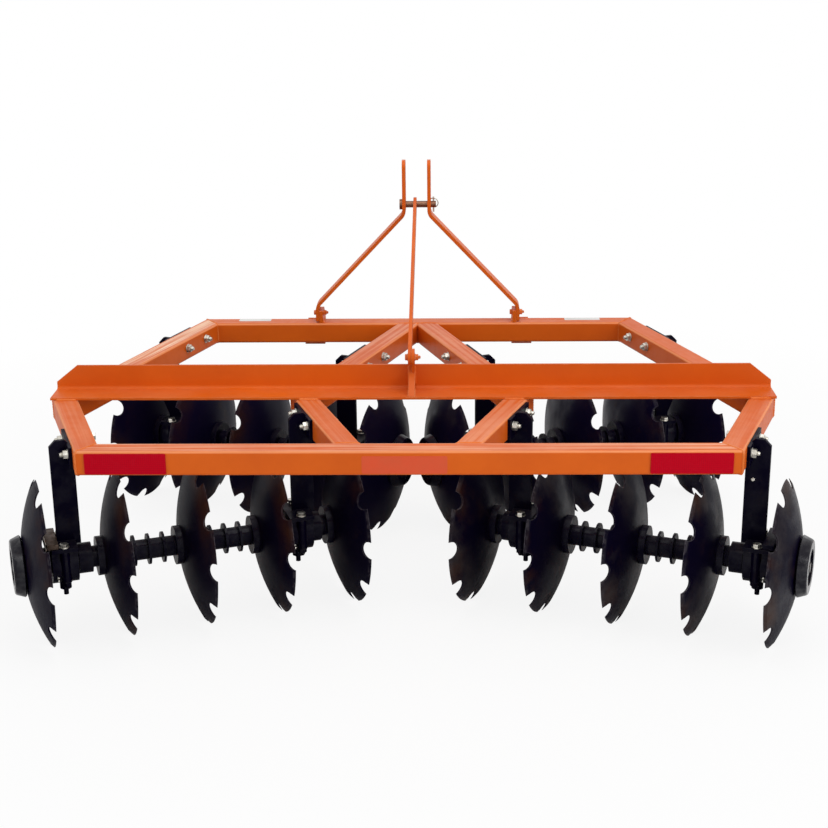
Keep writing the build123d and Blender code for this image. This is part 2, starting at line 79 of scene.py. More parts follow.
# %% Measures of the frame
LEFT, RIGHT = -1, 1
TUBE, SLANT, HALF_CORNER = 0.060, math.radians(20), math.radians(35)
SKEW = TUBE / 2 / math.cos(SLANT)                   # half of a cut across a slanting tube
MITRE = TUBE / 2 / math.cos(HALF_CORNER)            # half of a corner's mitred cut
MITRE_INWARD = TUBE / 2 * math.tan(HALF_CORNER)     # from a beam's end to the middle of its mitre
REAR_BEAM, FRONT_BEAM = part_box("rear_beam"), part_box("front_beam")
REAR_FACE, FRONT_FACE, FRAME_TOP = REAR_BEAM[0].y, FRONT_BEAM[1].y, REAR_BEAM[1].z


def bend_of(name):
    """X and Y of the place where the middle line of a rear tube on the right meets its front tube's."""
    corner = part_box(name)[1]
    return corner.x - SKEW, corner.y


def middle_line(bend, y):
    """How far from the middle of the machine a pair of slanting tubes runs at a place along Y."""
    return bend[0] - abs(y - bend[1]) * math.tan(SLANT)


OUTER_BEND, INNER_BEND = bend_of("rear_right_tube"), bend_of("rear_right_inner_tube")
print("bends", [round(v, 4) for v in (*OUTER_BEND, *INNER_BEND)])

# %% [markdown]
# ## The camera and the background
# The photograph was taken from behind and above with a long lens. Its place was solved from the corners of
# the frame, so it is written here as numbers. The picture is on pure white, so the world is white for the
# camera and for reflections, and a softer grey for the light that falls on the object.

# %% Camera
CAMERA_PLACE = (0.108733, -3.953340, 1.735167)
CAMERA_YAW, CAMERA_PITCH, CAMERA_ROLL = 0.02706, 0.32352, -0.01092
CAMERA_LENS, SENSOR_WIDTH = 68.394, 36
camera = bpy.data.objects.new("camera", bpy.data.cameras.new("camera"))
camera.data.lens = CAMERA_LENS
camera.data.sensor_width = SENSOR_WIDTH
camera.matrix_world = (
    Matrix.Translation(CAMERA_PLACE)
    @ Matrix.Rotation(CAMERA_YAW, 4, "Z")
    @ Matrix.Rotation(math.pi / 2 - CAMERA_PITCH, 4, "X")
    @ Matrix.Rotation(CAMERA_ROLL, 4, "Z")
)
bpy.context.scene.collection.objects.link(camera)
bpy.context.scene.camera = camera
bpy.context.scene.view_settings.view_transform = "Standard"
print("camera", camera.data.lens, "mm")

# %% A short way to add and join shader nodes


def add(tree, kind, values=None, **settings):
    """Adds a node, sets its fields, and feeds its sockets with numbers or with other nodes' outputs."""
    made = tree.nodes.new("ShaderNode" + kind)
    for field, value in settings.items():
        setattr(made, field, value)
    for socket, value in (values or {}).items():
        if isinstance(value, bpy.types.NodeSocket):
            tree.links.new(value, made.inputs[socket])
        else:
            made.inputs[socket].default_value = value
    return made


def maths(tree, operation, a, b=0.0, clamp=False):
    return add(tree, "Math", {0: a, 1: b}, operation=operation, use_clamp=clamp).outputs[0]


def times(tree, a, b, clamp=False):
    return maths(tree, "MULTIPLY", a, b, clamp)


def plus(tree, a, b, clamp=False):
    return maths(tree, "ADD", a, b, clamp)


def mixed(tree, share, a, b):
    """Colour mix: a where share is 0, b where it is 1."""
    node = add(tree, "Mix", data_type="RGBA")
    for socket, value in ((0, share), (6, a), (7, b)):
        if isinstance(value, bpy.types.NodeSocket):
            tree.links.new(value, node.inputs[socket])
        else:
            node.inputs[socket].default_value = value if socket == 0 else (*value, 1)
    return node.outputs[2]


def tinted(tree, tone, colour, mask, share=1.0):
    """The tone, turned to a colour where the mask is 1, as far as share says."""
    return mixed(tree, mask if share == 1.0 else times(tree, mask, share), tone, colour)


def ranged(tree, value, low, high, to_low=0.0, to_high=1.0):
    """Maps low..high to to_low..to_high, and holds it there."""
    return add(tree, "MapRange", {0: value, 1: low, 2: high, 3: to_low, 4: to_high}).outputs[0]


# %% World
world = bpy.data.worlds.new("studio")
bpy.context.scene.world = world
world.use_nodes = True
sky = world.node_tree
sky.nodes.clear()
AMBIENT = 0.62
soft_light = add(sky, "Background", {"Color": (1, 1, 1, 1), "Strength": AMBIENT})
white_paper = add(sky, "Background", {"Color": (1, 1, 1, 1), "Strength": 1.0})
rays = add(sky, "LightPath")
seen = maths(sky, "MAXIMUM", rays.outputs["Is Camera Ray"], rays.outputs["Is Glossy Ray"])
seen = maths(sky, "MAXIMUM", seen, rays.outputs["Is Transmission Ray"])
both = add(sky, "MixShader", {0: seen, 1: soft_light.outputs[0], 2: white_paper.outputs[0]})
add(sky, "OutputWorld", {"Surface": both.outputs[0]})
print("ambient light", AMBIENT)

# %% Floor
FLOOR_HALF, FLOOR_GREY = 12, 0.82
FADE_FROM, FADE_TO, NEAR_SHARE = 1.1, 2.6, 0.88     # share of white near the object, until it is all white


def stage_floor():
    """Pale floor that keeps the object's shadow and fades to the white of the background."""
    mesh = bpy.data.meshes.new("floor")
    bm = bmesh.new()
    bmesh.ops.create_grid(bm, x_segments=1, y_segments=1, size=FLOOR_HALF)
    bm.to_mesh(mesh)
    bm.free()
    floor = bpy.data.objects.new("floor", mesh)
    bpy.context.scene.collection.objects.link(floor)
    material = bpy.data.materials.new("floor")
    material.use_nodes = True
    tree = material.node_tree
    tree.nodes.clear()
    place = add(tree, "TexCoord").outputs["Object"]
    far = add(tree, "VectorMath", {0: place}, operation="LENGTH").outputs["Value"]
    fade = ranged(tree, far, FADE_FROM, FADE_TO, NEAR_SHARE, 1.0)
    ray = add(tree, "LightPath").outputs["Is Camera Ray"]
    share = times(tree, fade, ray)
    matt = add(tree, "BsdfDiffuse", {"Color": (FLOOR_GREY, FLOOR_GREY, FLOOR_GREY, 1)})
    glow = add(tree, "Emission", {"Color": (1, 1, 1, 1), "Strength": 1.0})
    mix = add(tree, "MixShader", {0: share, 1: matt.outputs[0], 2: glow.outputs[0]})
    add(tree, "OutputMaterial", {"Surface": mix.outputs[0]})
    mesh.materials.append(material)
    floor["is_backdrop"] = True
    return floor


print("floor", stage_floor().name)

# %% Lamps


def softbox(name, place, target, size, power):
    """Large square lamp that looks at a point."""
    lamp = bpy.data.lights.new(name, "AREA")
    lamp.size = size
    lamp.energy = power
    made = bpy.data.objects.new(name, lamp)
    made.location = place
    made.rotation_mode = "QUATERNION"
    made.rotation_quaternion = (Vector(target) - Vector(place)).to_track_quat("-Z", "Y")
    bpy.context.scene.collection.objects.link(made)


# Each lamp's place, the point it looks at, its side and its power in watts
LAMPS = {
    "lamp_top": ((0.4, -0.6, 3.6), (0, 0, 0.3), 3.0, 42),
    "lamp_left": ((-3.6, -2.4, 2.0), (0, 0, 0.4), 2.2, 22),
    "lamp_right": ((3.4, -2.8, 2.2), (0, 0, 0.4), 2.2, 56),
}
for name, lamp_facts in LAMPS.items():
    softbox(name, *lamp_facts)
print("lamps", len(bpy.data.lights))

# %% [markdown]
# ## Effects that several finishes share
# Real paint and iron are never one flat colour. Edges rub pale, dust settles on what faces up, and castings
# have a grainy skin. Each of these effects is a node group, built once and placed in the materials with its
# own values. A group hands out only masks, heights and normals; the shader stays in the material.

# %% Node groups


def new_group(title, inputs, outputs):
    """An empty group, with its inputs' and outputs' sockets."""
    group = bpy.data.node_groups.new(title, "ShaderNodeTree")
    for name, kind, value in inputs:
        socket = group.interface.new_socket(name=name, in_out="INPUT", socket_type="NodeSocket" + kind)
        if value is not None:
            socket.default_value = value
    for name, kind in outputs:
        group.interface.new_socket(name=name, in_out="OUTPUT", socket_type="NodeSocket" + kind)
    entry = group.nodes.new("NodeGroupInput")
    leave = group.nodes.new("NodeGroupOutput")
    return group, entry.outputs, leave.inputs


def use_group(tree, group, **values):
    """Places a group in a material; spaces in socket names are written as underscores."""
    made = tree.nodes.new("ShaderNodeGroup")
    made.node_tree = group
    for socket, value in values.items():
        socket = socket.replace("_", " ")
        if isinstance(value, bpy.types.NodeSocket):
            tree.links.new(value, made.inputs[socket])
        else:
            made.inputs[socket].default_value = value
    return made.outputs


# %% Edge wear


def build_edge_wear():
    """Compares the surface's normal with a rounded one: they differ only beside an edge."""
    group, inside, out = new_group(
        "edge wear",
        [("Radius", "Float", 0.002), ("Grain", "Float", 60.0), ("Amount", "Float", 1.0)],
        [("Mask", "Float"), ("Rounded", "Vector")],
    )
    rounded = add(group, "Bevel", {"Radius": inside["Radius"]}, samples=4).outputs[0]
    plain = add(group, "NewGeometry").outputs["Normal"]
    dot = add(group, "VectorMath", {0: rounded, 1: plain}, operation="DOT_PRODUCT").outputs["Value"]
    edge = ranged(group, dot, 0.995, 0.86)
    place = add(group, "TexCoord").outputs["Object"]
    patch = add(group, "TexNoise", {"Vector": place, "Scale": inside["Grain"], "Detail": 4.0,
                                    "Roughness": 0.65})
    rubbed = ranged(group, patch.outputs[0], 0.40, 0.62)
    mask = times(group, edge, rubbed)
    group.links.new(times(group, mask, inside["Amount"], clamp=True), out["Mask"])
    group.links.new(rounded, out["Rounded"])
    return group


edge_wear = build_edge_wear()
print("group", edge_wear.name)

# %% Dust that settles on what faces up


def build_dust():
    """Patchy mask that grows as the surface turns upward."""
    group, inside, out = new_group(
        "settled dust", [("Grain", "Float", 12.0), ("Amount", "Float", 0.3)], [("Mask", "Float")])
    coords = add(group, "TexCoord").outputs
    height = add(group, "SeparateXYZ", {0: coords["Normal"]}).outputs["Z"]
    facing = ranged(group, height, 0.25, 0.95)
    cloud = add(group, "TexNoise", {"Vector": coords["Object"], "Scale": inside["Grain"], "Detail": 6.0,
                                    "Roughness": 0.7})
    patchy = ranged(group, cloud.outputs[0], 0.38, 0.66)
    mask = times(group, facing, patchy)
    group.links.new(times(group, mask, inside["Amount"], clamp=True), out["Mask"])
    return group


settled_dust = build_dust()
print("group", settled_dust.name)

# %% Blotches: large soft patches of another tone


def build_blotches():
    """Clouds of noise, cut off below Low and full above High."""
    group, inside, out = new_group(
        "blotches",
        [("Grain", "Float", 5.0), ("Low", "Float", 0.35), ("High", "Float", 0.65)],
        [("Mask", "Float")],
    )
    place = add(group, "TexCoord").outputs["Object"]
    cloud = add(group, "TexNoise", {"Vector": place, "Scale": inside["Grain"], "Detail": 5.0,
                                    "Roughness": 0.6})
    group.links.new(ranged(group, cloud.outputs[0], inside["Low"], inside["High"]), out["Mask"])
    return group


blotches = build_blotches()


def patches(tree, grain, low, high):
    """Mask of soft patches in a material; the nearer low and high are, the sharper their borders."""
    return use_group(tree, blotches, Grain=grain, Low=low, High=high)["Mask"]


print("group", blotches.name)

# %% Grainy skin of a casting or of sprayed paint


def build_skin():
    """Height of a fine grain that lies on coarser lumps."""
    group, inside, out = new_group(
        "skin", [("Fine", "Float", 900.0), ("Coarse", "Float", 120.0), ("Lumps", "Float", 0.4)],
        [("Height", "Float")])
    place = add(group, "TexCoord").outputs["Object"]
    fine = add(group, "TexNoise", {"Vector": place, "Scale": inside["Fine"], "Detail": 2.0}).outputs[0]
    coarse = add(group, "TexNoise", {"Vector": place, "Scale": inside["Coarse"], "Detail": 3.0}).outputs[0]
    lumps = times(group, coarse, inside["Lumps"])
    group.links.new(plus(group, fine, lumps), out["Height"])
    return group


skin = build_skin()
print("group", skin.name)

# %% Painted highlights: pale streaks of reflected light along a tube's top, and on its upper corners


def build_highlight_streaks():
    """Painted highlights: noise drawn out along the tube, on its top, and a mask of its rounded upper
    corners.
    """
    group, inside, out = new_group(
        "highlight_streaks", [("Vector", "Vector", None), ("Low", "Float", 0.46), ("High", "Float", 0.66)],
        [("Mask", "Float"), ("CornerHighlight", "Float")])
    lines = add(group, "TexNoise", {"Vector": inside["Vector"], "Scale": 1.0, "Detail": 2.0,
                                    "Roughness": 0.6}).outputs[0]
    line = ranged(group, lines, inside["Low"], inside["High"])
    normal = add(group, "TexCoord").outputs["Normal"]
    height = add(group, "SeparateXYZ", {0: normal}).outputs["Z"]
    group.links.new(times(group, line, ranged(group, height, 0.60, 0.95)), out["Mask"])
    rising = ranged(group, height, 0.15, 0.45)
    group.links.new(times(group, rising, ranged(group, height, 0.97, 0.80)), out["CornerHighlight"])
    return group


highlight_streaks = build_highlight_streaks()
print("group", highlight_streaks.name)

# %% Rings round an axle, as pressing and soil leave them on a disc


def build_rings():
    """Distance from the axle, and noise that changes with that distance alone."""
    group, inside, out = new_group(
        "axle rings", [("Vector", "Vector", None), ("Spacing", "Float", 300.0)],
        [("Distance", "Float"), ("Rings", "Float")])
    parts = add(group, "SeparateXYZ", {0: inside["Vector"]}).outputs
    squares = [maths(group, "POWER", parts[axis], 2.0) for axis in "YZ"]
    distance = maths(group, "SQRT", plus(group, *squares))
    rings = add(group, "TexNoise", {"W": distance, "Scale": inside["Spacing"], "Detail": 4.0,
                                    "Roughness": 0.75}, noise_dimensions="1D").outputs[0]
    group.links.new(distance, out["Distance"])
    group.links.new(rings, out["Rings"])
    return group


axle_rings = build_rings()
print("group", axle_rings.name)

# %% [markdown]
# ## Orange paint
# The frame is sprayed after it is welded. Such paint has a faint orange-peel skin, thins to a paler tone on
# edges, chips to dark primer on the sharpest of them, and gathers dust on top. A second tone of the same
# paint, a little paler and rougher, covers the weld beads, where paint never lies as smoothly. The tubes'
# tops
# have painted highlights: pale streaks of reflected light, and a pale line on their upper rounded corners.
# Noise gives the streaks when it is drawn out one way, and as each tube runs its own way and catches its own
# share of light, each has its own copy of the paint.

# %% Start of a material


def new_material(name):
    """Empty node material with a shader and an output."""
    material = bpy.data.materials.new(name)
    material.use_nodes = True
    tree = material.node_tree
    tree.nodes.clear()
    shader = add(tree, "BsdfPrincipled")
    add(tree, "OutputMaterial", {"Surface": shader.outputs[0]})
    return material, tree, shader.inputs


def bump(tree, height, strength, depth, normal=None):
    values = {"Height": height, "Strength": strength, "Distance": depth}
    if normal is not None:
        values["Normal"] = normal
    return add(tree, "Bump", values).outputs[0]


def set_finish(tree, sockets, **values):
    """Feeds the shader's sockets; a colour may be three numbers."""
    for socket, value in values.items():
        socket = socket.replace("_", " ")
        if isinstance(value, bpy.types.NodeSocket):
            tree.links.new(value, sockets[socket])
        elif isinstance(value, tuple):
            sockets[socket].default_value = (*value, 1)
        else:
            sockets[socket].default_value = value


# %% Orange frame paint
STREAK_LENGTH, STREAK_WIDTH = 0.55, 0.011
# Painted highlights: a pale tone of reflected light along the tubes' tops, and a highlight line on their
# upper corners
HIGHLIGHT_STREAK_TONE, CORNER_HIGHLIGHT_TONE = (0.96, 0.62, 0.42), (0.95, 0.42, 0.19)
PRIMER, PALE_DUST = (0.075, 0.05, 0.04), (0.74, 0.50, 0.36)


def painted_highlights(tree, tone, broad, run, gloss):
    """Painted highlights: pale streaks on a tube's top, stronger in broad patches, and a pale line on its
    corners.
    """
    place = add(tree, "TexCoord").outputs["Object"]
    drawn_out = add(tree, "Mapping", {"Vector": place, "Rotation": (0, 0, run),
                                      "Scale": (STREAK_LENGTH, STREAK_WIDTH, STREAK_WIDTH)},
                    vector_type="TEXTURE")
    highlight_masks = use_group(tree, highlight_streaks, Vector=drawn_out.outputs[0], Low=0.42, High=0.60)
    strength = plus(tree, times(tree, broad, 0.5), 0.5)
    tone = tinted(tree, tone, HIGHLIGHT_STREAK_TONE, times(tree, highlight_masks["Mask"], strength), gloss)
    return tinted(tree, tone, CORNER_HIGHLIGHT_TONE, highlight_masks["CornerHighlight"], 0.45)


def make_paint(name, deep, bright, pale, grain_height, matt, run=None, gloss=0.0):
    """Sprayed paint. A tube's paint also has painted highlight streaks, turned by run from X, as pale as
    gloss says.
    """
    material, tree, sockets = new_material(name)
    broad = patches(tree, 2.6, 0.36, 0.66)
    close = patches(tree, 34.0, 0.42, 0.70)
    tone = mixed(tree, broad, deep, bright)
    tone = tinted(tree, tone, deep, close, 0.22)
    worn = use_group(tree, edge_wear, Radius=0.0022, Grain=26.0, Amount=0.60)
    tone = tinted(tree, tone, pale, worn["Mask"])
    chips = times(tree, worn["Mask"], patches(tree, 170.0, 0.66, 0.71))
    tone = tinted(tree, tone, PRIMER, chips)
    dusty = use_group(tree, settled_dust, Grain=7.0, Amount=0.07)["Mask"]
    tone = tinted(tree, tone, PALE_DUST, dusty)
    # Painted highlights on a tube's top and on its upper corners
    if run is not None:
        tone = painted_highlights(tree, tone, broad, run, gloss)
    rough = plus(tree, times(tree, close, 0.10), matt)
    rough = plus(tree, rough, times(tree, dusty, 0.8), clamp=True)
    peel = use_group(tree, skin, Fine=420.0, Coarse=46.0, Lumps=1.4)["Height"]
    normal = bump(tree, peel, 0.22, grain_height, worn["Rounded"])
    set_finish(tree, sockets, Base_Color=tone, Roughness=rough, Normal=normal, Specular_IOR_Level=0.14)
    return material


FRAME_TONES = {"deep": (0.62, 0.098, 0.007), "bright": (0.71, 0.124, 0.008), "pale": (0.95, 0.42, 0.20),
               "grain_height": 0.0004, "matt": 0.34}
WELD_TONES = {"deep": (0.68, 0.13, 0.016), "bright": (0.80, 0.20, 0.040), "pale": (0.95, 0.50, 0.25),
              "grain_height": 0.0012, "matt": 0.42}
frame_paint = make_paint("orange_frame_paint", **FRAME_TONES)
weld_paint = make_paint("orange_weld_paint", **WELD_TONES)
print("paints", frame_paint.name, weld_paint.name)

# %% The tubes' own paints
# For each tube: the way it runs, as an angle from X, and how pale its painted highlight streaks are
TO_LEFT, TO_RIGHT = math.radians(110), math.radians(70)
TUBE_RUNS = {
    "rear_beam": (0, 0.45), "front_beam": (0, 0.15),
    "rear_left_tube": (TO_LEFT, 0.12), "rear_right_tube": (TO_RIGHT, 0.14),
    "rear_left_inner_tube": (TO_LEFT, 0.20), "rear_right_inner_tube": (TO_RIGHT, 0.25),
    "front_left_tube": (TO_RIGHT, 1.0), "front_right_tube": (TO_LEFT, 0.05),
    "front_left_inner_tube": (TO_RIGHT, 0.40), "front_right_inner_tube": (TO_LEFT, 0.30),
}
tube_paints = {
    name: make_paint(f"orange_paint_{name}", run=run, gloss=gloss, **FRAME_TONES)
    for name, (run, gloss) in TUBE_RUNS.items()
}
print("paints for the tubes", len(tube_paints))

# %% [markdown]
# ## Black paint and black castings
# Hangers are flat bar in satin black; housings, spools and bumpers are castings under a thin black coat. On
# both, edges rub to a dull grey, and a brown bloom of rust shows in places. A casting's skin is coarse enough
# to see, so its bump is deeper. Where such a part has been handled it shines, and the shader's clear coat
# gives that shine in patches.

# %% Black finishes
GREY_DUST = (0.16, 0.14, 0.13)


def make_black(name, base, rust, rubbed, fine, depth, matt, shine):
    """Thin black coat with a grain of fine noise, raised by depth, and handled patches that shine."""
    material, tree, sockets = new_material(name)
    bloom = times(tree, patches(tree, 9.0, 0.50, 0.78), patches(tree, 85.0, 0.48, 0.70))
    tone = mixed(tree, times(tree, bloom, 0.75), base, rust)
    worn = use_group(tree, edge_wear, Radius=0.0022, Grain=48.0, Amount=0.85)
    tone = tinted(tree, tone, rubbed, worn["Mask"])
    dusty = use_group(tree, settled_dust, Grain=16.0, Amount=0.08)["Mask"]
    tone = tinted(tree, tone, GREY_DUST, dusty)
    rough = plus(tree, times(tree, bloom, 0.25), matt)
    rough = plus(tree, rough, times(tree, dusty, 0.9), clamp=True)
    grain = use_group(tree, skin, Fine=fine, Coarse=fine / 5, Lumps=0.9)["Height"]
    normal = bump(tree, grain, 0.5, depth, worn["Rounded"])
    handled = patches(tree, 22.0, 0.42, 0.62)
    set_finish(tree, sockets, Base_Color=tone, Roughness=rough, Normal=normal, Specular_IOR_Level=0.5 * shine,
               Coat_Weight=times(tree, handled, 2.4 * shine), Coat_Roughness=0.18)
    return material


black_paint = make_black(
    "black_bar_paint", base=(0.0018, 0.0010, 0.0085), rust=(0.018, 0.010, 0.008),
    rubbed=(0.036, 0.032, 0.040), fine=700.0, depth=0.0003, matt=0.36, shine=0.05)
cast_iron = make_black(
    "black_casting", base=(0.0022, 0.0012, 0.0090), rust=(0.020, 0.011, 0.009),
    rubbed=(0.034, 0.030, 0.036), fine=330.0, depth=0.0009, matt=0.29, shine=0.075)
glossy_iron = make_black(
    "glossy_casting", base=(0.0040, 0.0034, 0.0085), rust=(0.022, 0.012, 0.010),
    rubbed=(0.060, 0.056, 0.062), fine=260.0, depth=0.0006, matt=0.20, shine=0.30)
print("blacks", black_paint.name, cast_iron.name, glossy_iron.name)

# %% [markdown]
# ## Disc steel
# The discs are pressed and hardened steel with a thin dark coat. Pressing leaves faint rings round the
# middle, the ground rim shows paler, and soil scuffs and rusts the outer part. Rings need to know where the
# axle is, so each gang has its own material: a Mapping node turns and shifts the Object coordinates until the
# axle lies along X. The distance from it then places the scuffs, the rusty tips and the rim.

# %% Where the gangs are


def gang_facts(joint):
    """Middle of the axle, the way its discs bulge, and the ways outwards and along the tube."""
    name = joint["child"][: -len("_gang")]
    end, hand = name.split("_")
    side = LEFT if hand == "left" else RIGHT
    convex = Vector(joint["axis"]).normalized()
    out = convex if convex.x * side > 0 else -convex
    along = up.cross(out)
    if along.y < 0:
        along.negate()
    return {"name": name, "end": end, "side": side, "middle": Vector(joint["pos_m"]), "convex": convex,
            "out": out, "along": along}


gangs = [gang_facts(joint) for joint in frame["joints"]]
DISC_RADIUS = gangs[0]["middle"].z
print("gangs", [gang["name"] for gang in gangs])

# %% Disc finish


def axle_coordinates(tree, gang):
    """Object coordinates turned so that the gang's axle is the X axis."""
    turn = math.atan2(gang["convex"].y, gang["convex"].x)
    shift = -(Matrix.Rotation(-turn, 3, "Z") @ gang["middle"])
    place = add(tree, "TexCoord").outputs["Object"]
    return add(tree, "Mapping", {"Vector": place, "Location": shift, "Rotation": (0, 0, -turn)}).outputs[0]


# Tones of the dark coat and of what shows through it; the front gangs' coat is made paler as painted light
DARK_COAT, PALER_COAT, FRONT_PAINTED_LIGHT = (0.0018, 0.0010, 0.0085), (0.0042, 0.0026, 0.0095), 2.0
BROWN, RING_TONE, RIM_TONE = (0.022, 0.0115, 0.0100), (0.010, 0.007, 0.012), (0.040, 0.035, 0.043)
SCUFF_AND_SHEEN_TONE, RUST_TONE = (0.050, 0.041, 0.037), (0.040, 0.014, 0.007)
BARE_EDGE, SOIL_DUST = (0.13, 0.12, 0.14), (0.14, 0.11, 0.10)
# How far inside the rim each of these starts, and where it is full
RIM_BAND, SCUFF_BAND, TIP_BAND = (0.007, 0.004), (0.080, 0.035), (0.060, 0.012)
# How strong the scuffs are, far stronger on the right gangs as painted sheen, and how shiny the coat is where
# it is wiped
SCUFF_AND_SHEEN_SHARE, WIPED = {LEFT: 0.12, RIGHT: 0.55}, {LEFT: 0.10, RIGHT: 0.36}


def band(tree, distance, inside_rim):
    """Mask of a disc's outer part, from its start to where it is full."""
    start, full = inside_rim
    return ranged(tree, distance, DISC_RADIUS - start, DISC_RADIUS - full)


def disc_tone(tree, gang, rings):
    """Colour of the coat, its rings and brown patches, and of the worn outer part."""
    # The front gangs' coat is lifted to twice as pale, as painted light
    lift = FRONT_PAINTED_LIGHT if gang["end"] == "front" else 1.0
    dark, paler = (tuple(lift * c for c in tone) for tone in (DARK_COAT, PALER_COAT))
    tone = mixed(tree, patches(tree, 6.0, 0.38, 0.72), dark, paler)
    tone = tinted(tree, tone, BROWN, patches(tree, 13.0, 0.56, 0.80), 0.7)
    tone = tinted(tree, tone, RING_TONE, ranged(tree, rings["Rings"], 0.52, 0.70), 0.25)
    rim = times(tree, band(tree, rings["Distance"], RIM_BAND), patches(tree, 55.0, 0.46, 0.60))
    tone = tinted(tree, tone, RIM_TONE, rim, 0.8)
    # Real scuffs on the outer part, laid on far more strongly on the right gangs as painted sheen
    scuffs_and_sheen = times(tree, band(tree, rings["Distance"], SCUFF_BAND), patches(tree, 5.5, 0.48, 0.66))
    tone = tinted(tree, tone, SCUFF_AND_SHEEN_TONE, scuffs_and_sheen, SCUFF_AND_SHEEN_SHARE[gang["side"]])
    tips = times(tree, band(tree, rings["Distance"], TIP_BAND), patches(tree, 4.2, 0.50, 0.64))
    return tinted(tree, tone, RUST_TONE, tips, 0.8)


def make_disc_steel(gang):
    """Dark coat on pressed steel, with rings round the gang's own axle."""
    material, tree, sockets = new_material(f"disc_steel_{gang['name']}")
    rings = use_group(tree, axle_rings, Vector=axle_coordinates(tree, gang), Spacing=260.0)
    worn = use_group(tree, edge_wear, Radius=0.0018, Grain=60.0, Amount=0.9)
    dusty = use_group(tree, settled_dust, Grain=12.0, Amount=0.06)["Mask"]
    tone = tinted(tree, disc_tone(tree, gang, rings), BARE_EDGE, worn["Mask"])
    tone = tinted(tree, tone, SOIL_DUST, dusty)
    rough = plus(tree, times(tree, rings["Rings"], 0.22), 0.24)
    rough = plus(tree, rough, times(tree, dusty, 0.9), clamp=True)
    grain = use_group(tree, skin, Fine=620.0, Coarse=70.0, Lumps=0.8)["Height"]
    height = plus(tree, times(tree, rings["Rings"], 0.9), times(tree, grain, 0.5))
    normal = bump(tree, height, 0.35, 0.0006, worn["Rounded"])
    wiped = times(tree, patches(tree, 8.0, 0.44, 0.70), WIPED[gang["side"]])
    set_finish(tree, sockets, Base_Color=tone, Roughness=rough, Normal=normal, Specular_IOR_Level=0.02,
               Coat_Weight=wiped, Coat_Roughness=0.22)
    return material


disc_steel = {gang["name"]: make_disc_steel(gang) for gang in gangs}
print("disc finishes", len(disc_steel))

# %% [markdown]
# ## Bare metal and the reflectors
# Bolts and nuts are zinc plated, pins and axles are dark oiled steel, and the two reflectors are red plastic
# moulded full of tiny prisms. The prisms are far too small to model, so a cell texture gives them in the
# bump. A bare metal's colour is what it reflects, so the shader's Metallic is 1 and there is no coat.

# %% Metals


def make_metal(name, base, stain, matt, stain_share):
    """Bare or plated metal with stained patches, and brighter where its edges rub."""
    material, tree, sockets = new_material(name)
    patch = patches(tree, 60.0, 0.44, 0.74)
    tone = mixed(tree, times(tree, patch, stain_share), base, stain)
    worn = use_group(tree, edge_wear, Radius=0.0006, Grain=90.0, Amount=0.6)
    tone = tinted(tree, tone, tuple(min(1.0, c * 1.5) for c in base), worn["Mask"])
    rough = plus(tree, times(tree, patch, 0.22), matt, clamp=True)
    grain = use_group(tree, skin, Fine=1400.0, Coarse=300.0, Lumps=0.6)["Height"]
    normal = bump(tree, grain, 0.3, 0.0002, worn["Rounded"])
    set_finish(tree, sockets, Base_Color=tone, Roughness=rough, Normal=normal, Metallic=1.0)
    return material


zinc = make_metal("zinc_plating", (0.62, 0.60, 0.54), (0.30, 0.26, 0.20), 0.30, 0.6)
axle_steel = make_metal("oiled_axle_steel", (0.20, 0.19, 0.18), (0.07, 0.045, 0.03), 0.38, 0.7)
pin_steel = make_metal("dark_pin_steel", (0.24, 0.125, 0.080), (0.10, 0.042, 0.024), 0.34, 0.6)
scale_steel = make_metal("mill_scale_steel", (0.085, 0.060, 0.048), (0.045, 0.024, 0.014), 0.52, 0.8)
pale_steel = make_metal("pale_steel", (0.30, 0.27, 0.24), (0.12, 0.09, 0.07), 0.40, 0.6)
print("metals", zinc.name, axle_steel.name, pin_steel.name, scale_steel.name, pale_steel.name)

# %% Reflector plastic
PRISM_EDGE, PRISM_FACE = (0.36, 0.0, 0.009), (0.52, 0.0003, 0.012)
DULL_RED, SCRATCHED_RED = (0.40, 0.002, 0.014), (0.62, 0.10, 0.08)


def make_reflector():
    """Red plastic whose cells are darker along their edges."""
    material, tree, sockets = new_material("reflector_red")
    place = add(tree, "TexCoord").outputs["Object"]
    prism = add(tree, "TexVoronoi", {"Vector": place, "Scale": 210.0, "Randomness": 0.15},
                feature="DISTANCE_TO_EDGE").outputs[0]
    tone = mixed(tree, ranged(tree, prism, 0.0, 0.14), PRISM_EDGE, PRISM_FACE)
    close = patches(tree, 18.0, 0.40, 0.75)
    tone = tinted(tree, tone, DULL_RED, close, 0.25)
    worn = use_group(tree, edge_wear, Radius=0.001, Grain=40.0, Amount=0.5)
    tone = tinted(tree, tone, SCRATCHED_RED, worn["Mask"])
    rough = plus(tree, times(tree, close, 0.15), 0.22)
    normal = bump(tree, prism, 0.25, 0.0006, worn["Rounded"])
    set_finish(tree, sockets, Base_Color=tone, Roughness=rough, Normal=normal, Specular_IOR_Level=0.05)
    return material


reflector_red = make_reflector()
print("plastic", reflector_red.name)

# %% Give the CAD nodes their finishes


def dress(name, material):
    """Puts the material on every slot of a CAD node."""
    for slot in nodes[name].material_slots:
        slot.material = material


# Where two endings fit a name, the later one counts, and a node with none of them is part of the frame
finish_by_ending = {
    "_bearing_housings": cast_iron, "_hangers": black_paint, "_spools": cast_iron,
    "_end_fittings": cast_iron, "_axle": axle_steel, "mast_pin": pin_steel, "linch_pin": zinc,
    "reflectors": reflector_red,
    "rear_left_end_fittings": glossy_iron, "rear_right_end_fittings": glossy_iron,
}
for name in nodes:
    chosen = frame_paint
    for ending, material in finish_by_ending.items():
        if name.endswith(ending):
            chosen = material
    if name.endswith("_discs"):
        chosen = disc_steel[name[: -len("_discs")]]
    dress(name, tube_paints.get(name, chosen))
print("dressed", len(nodes), "nodes")

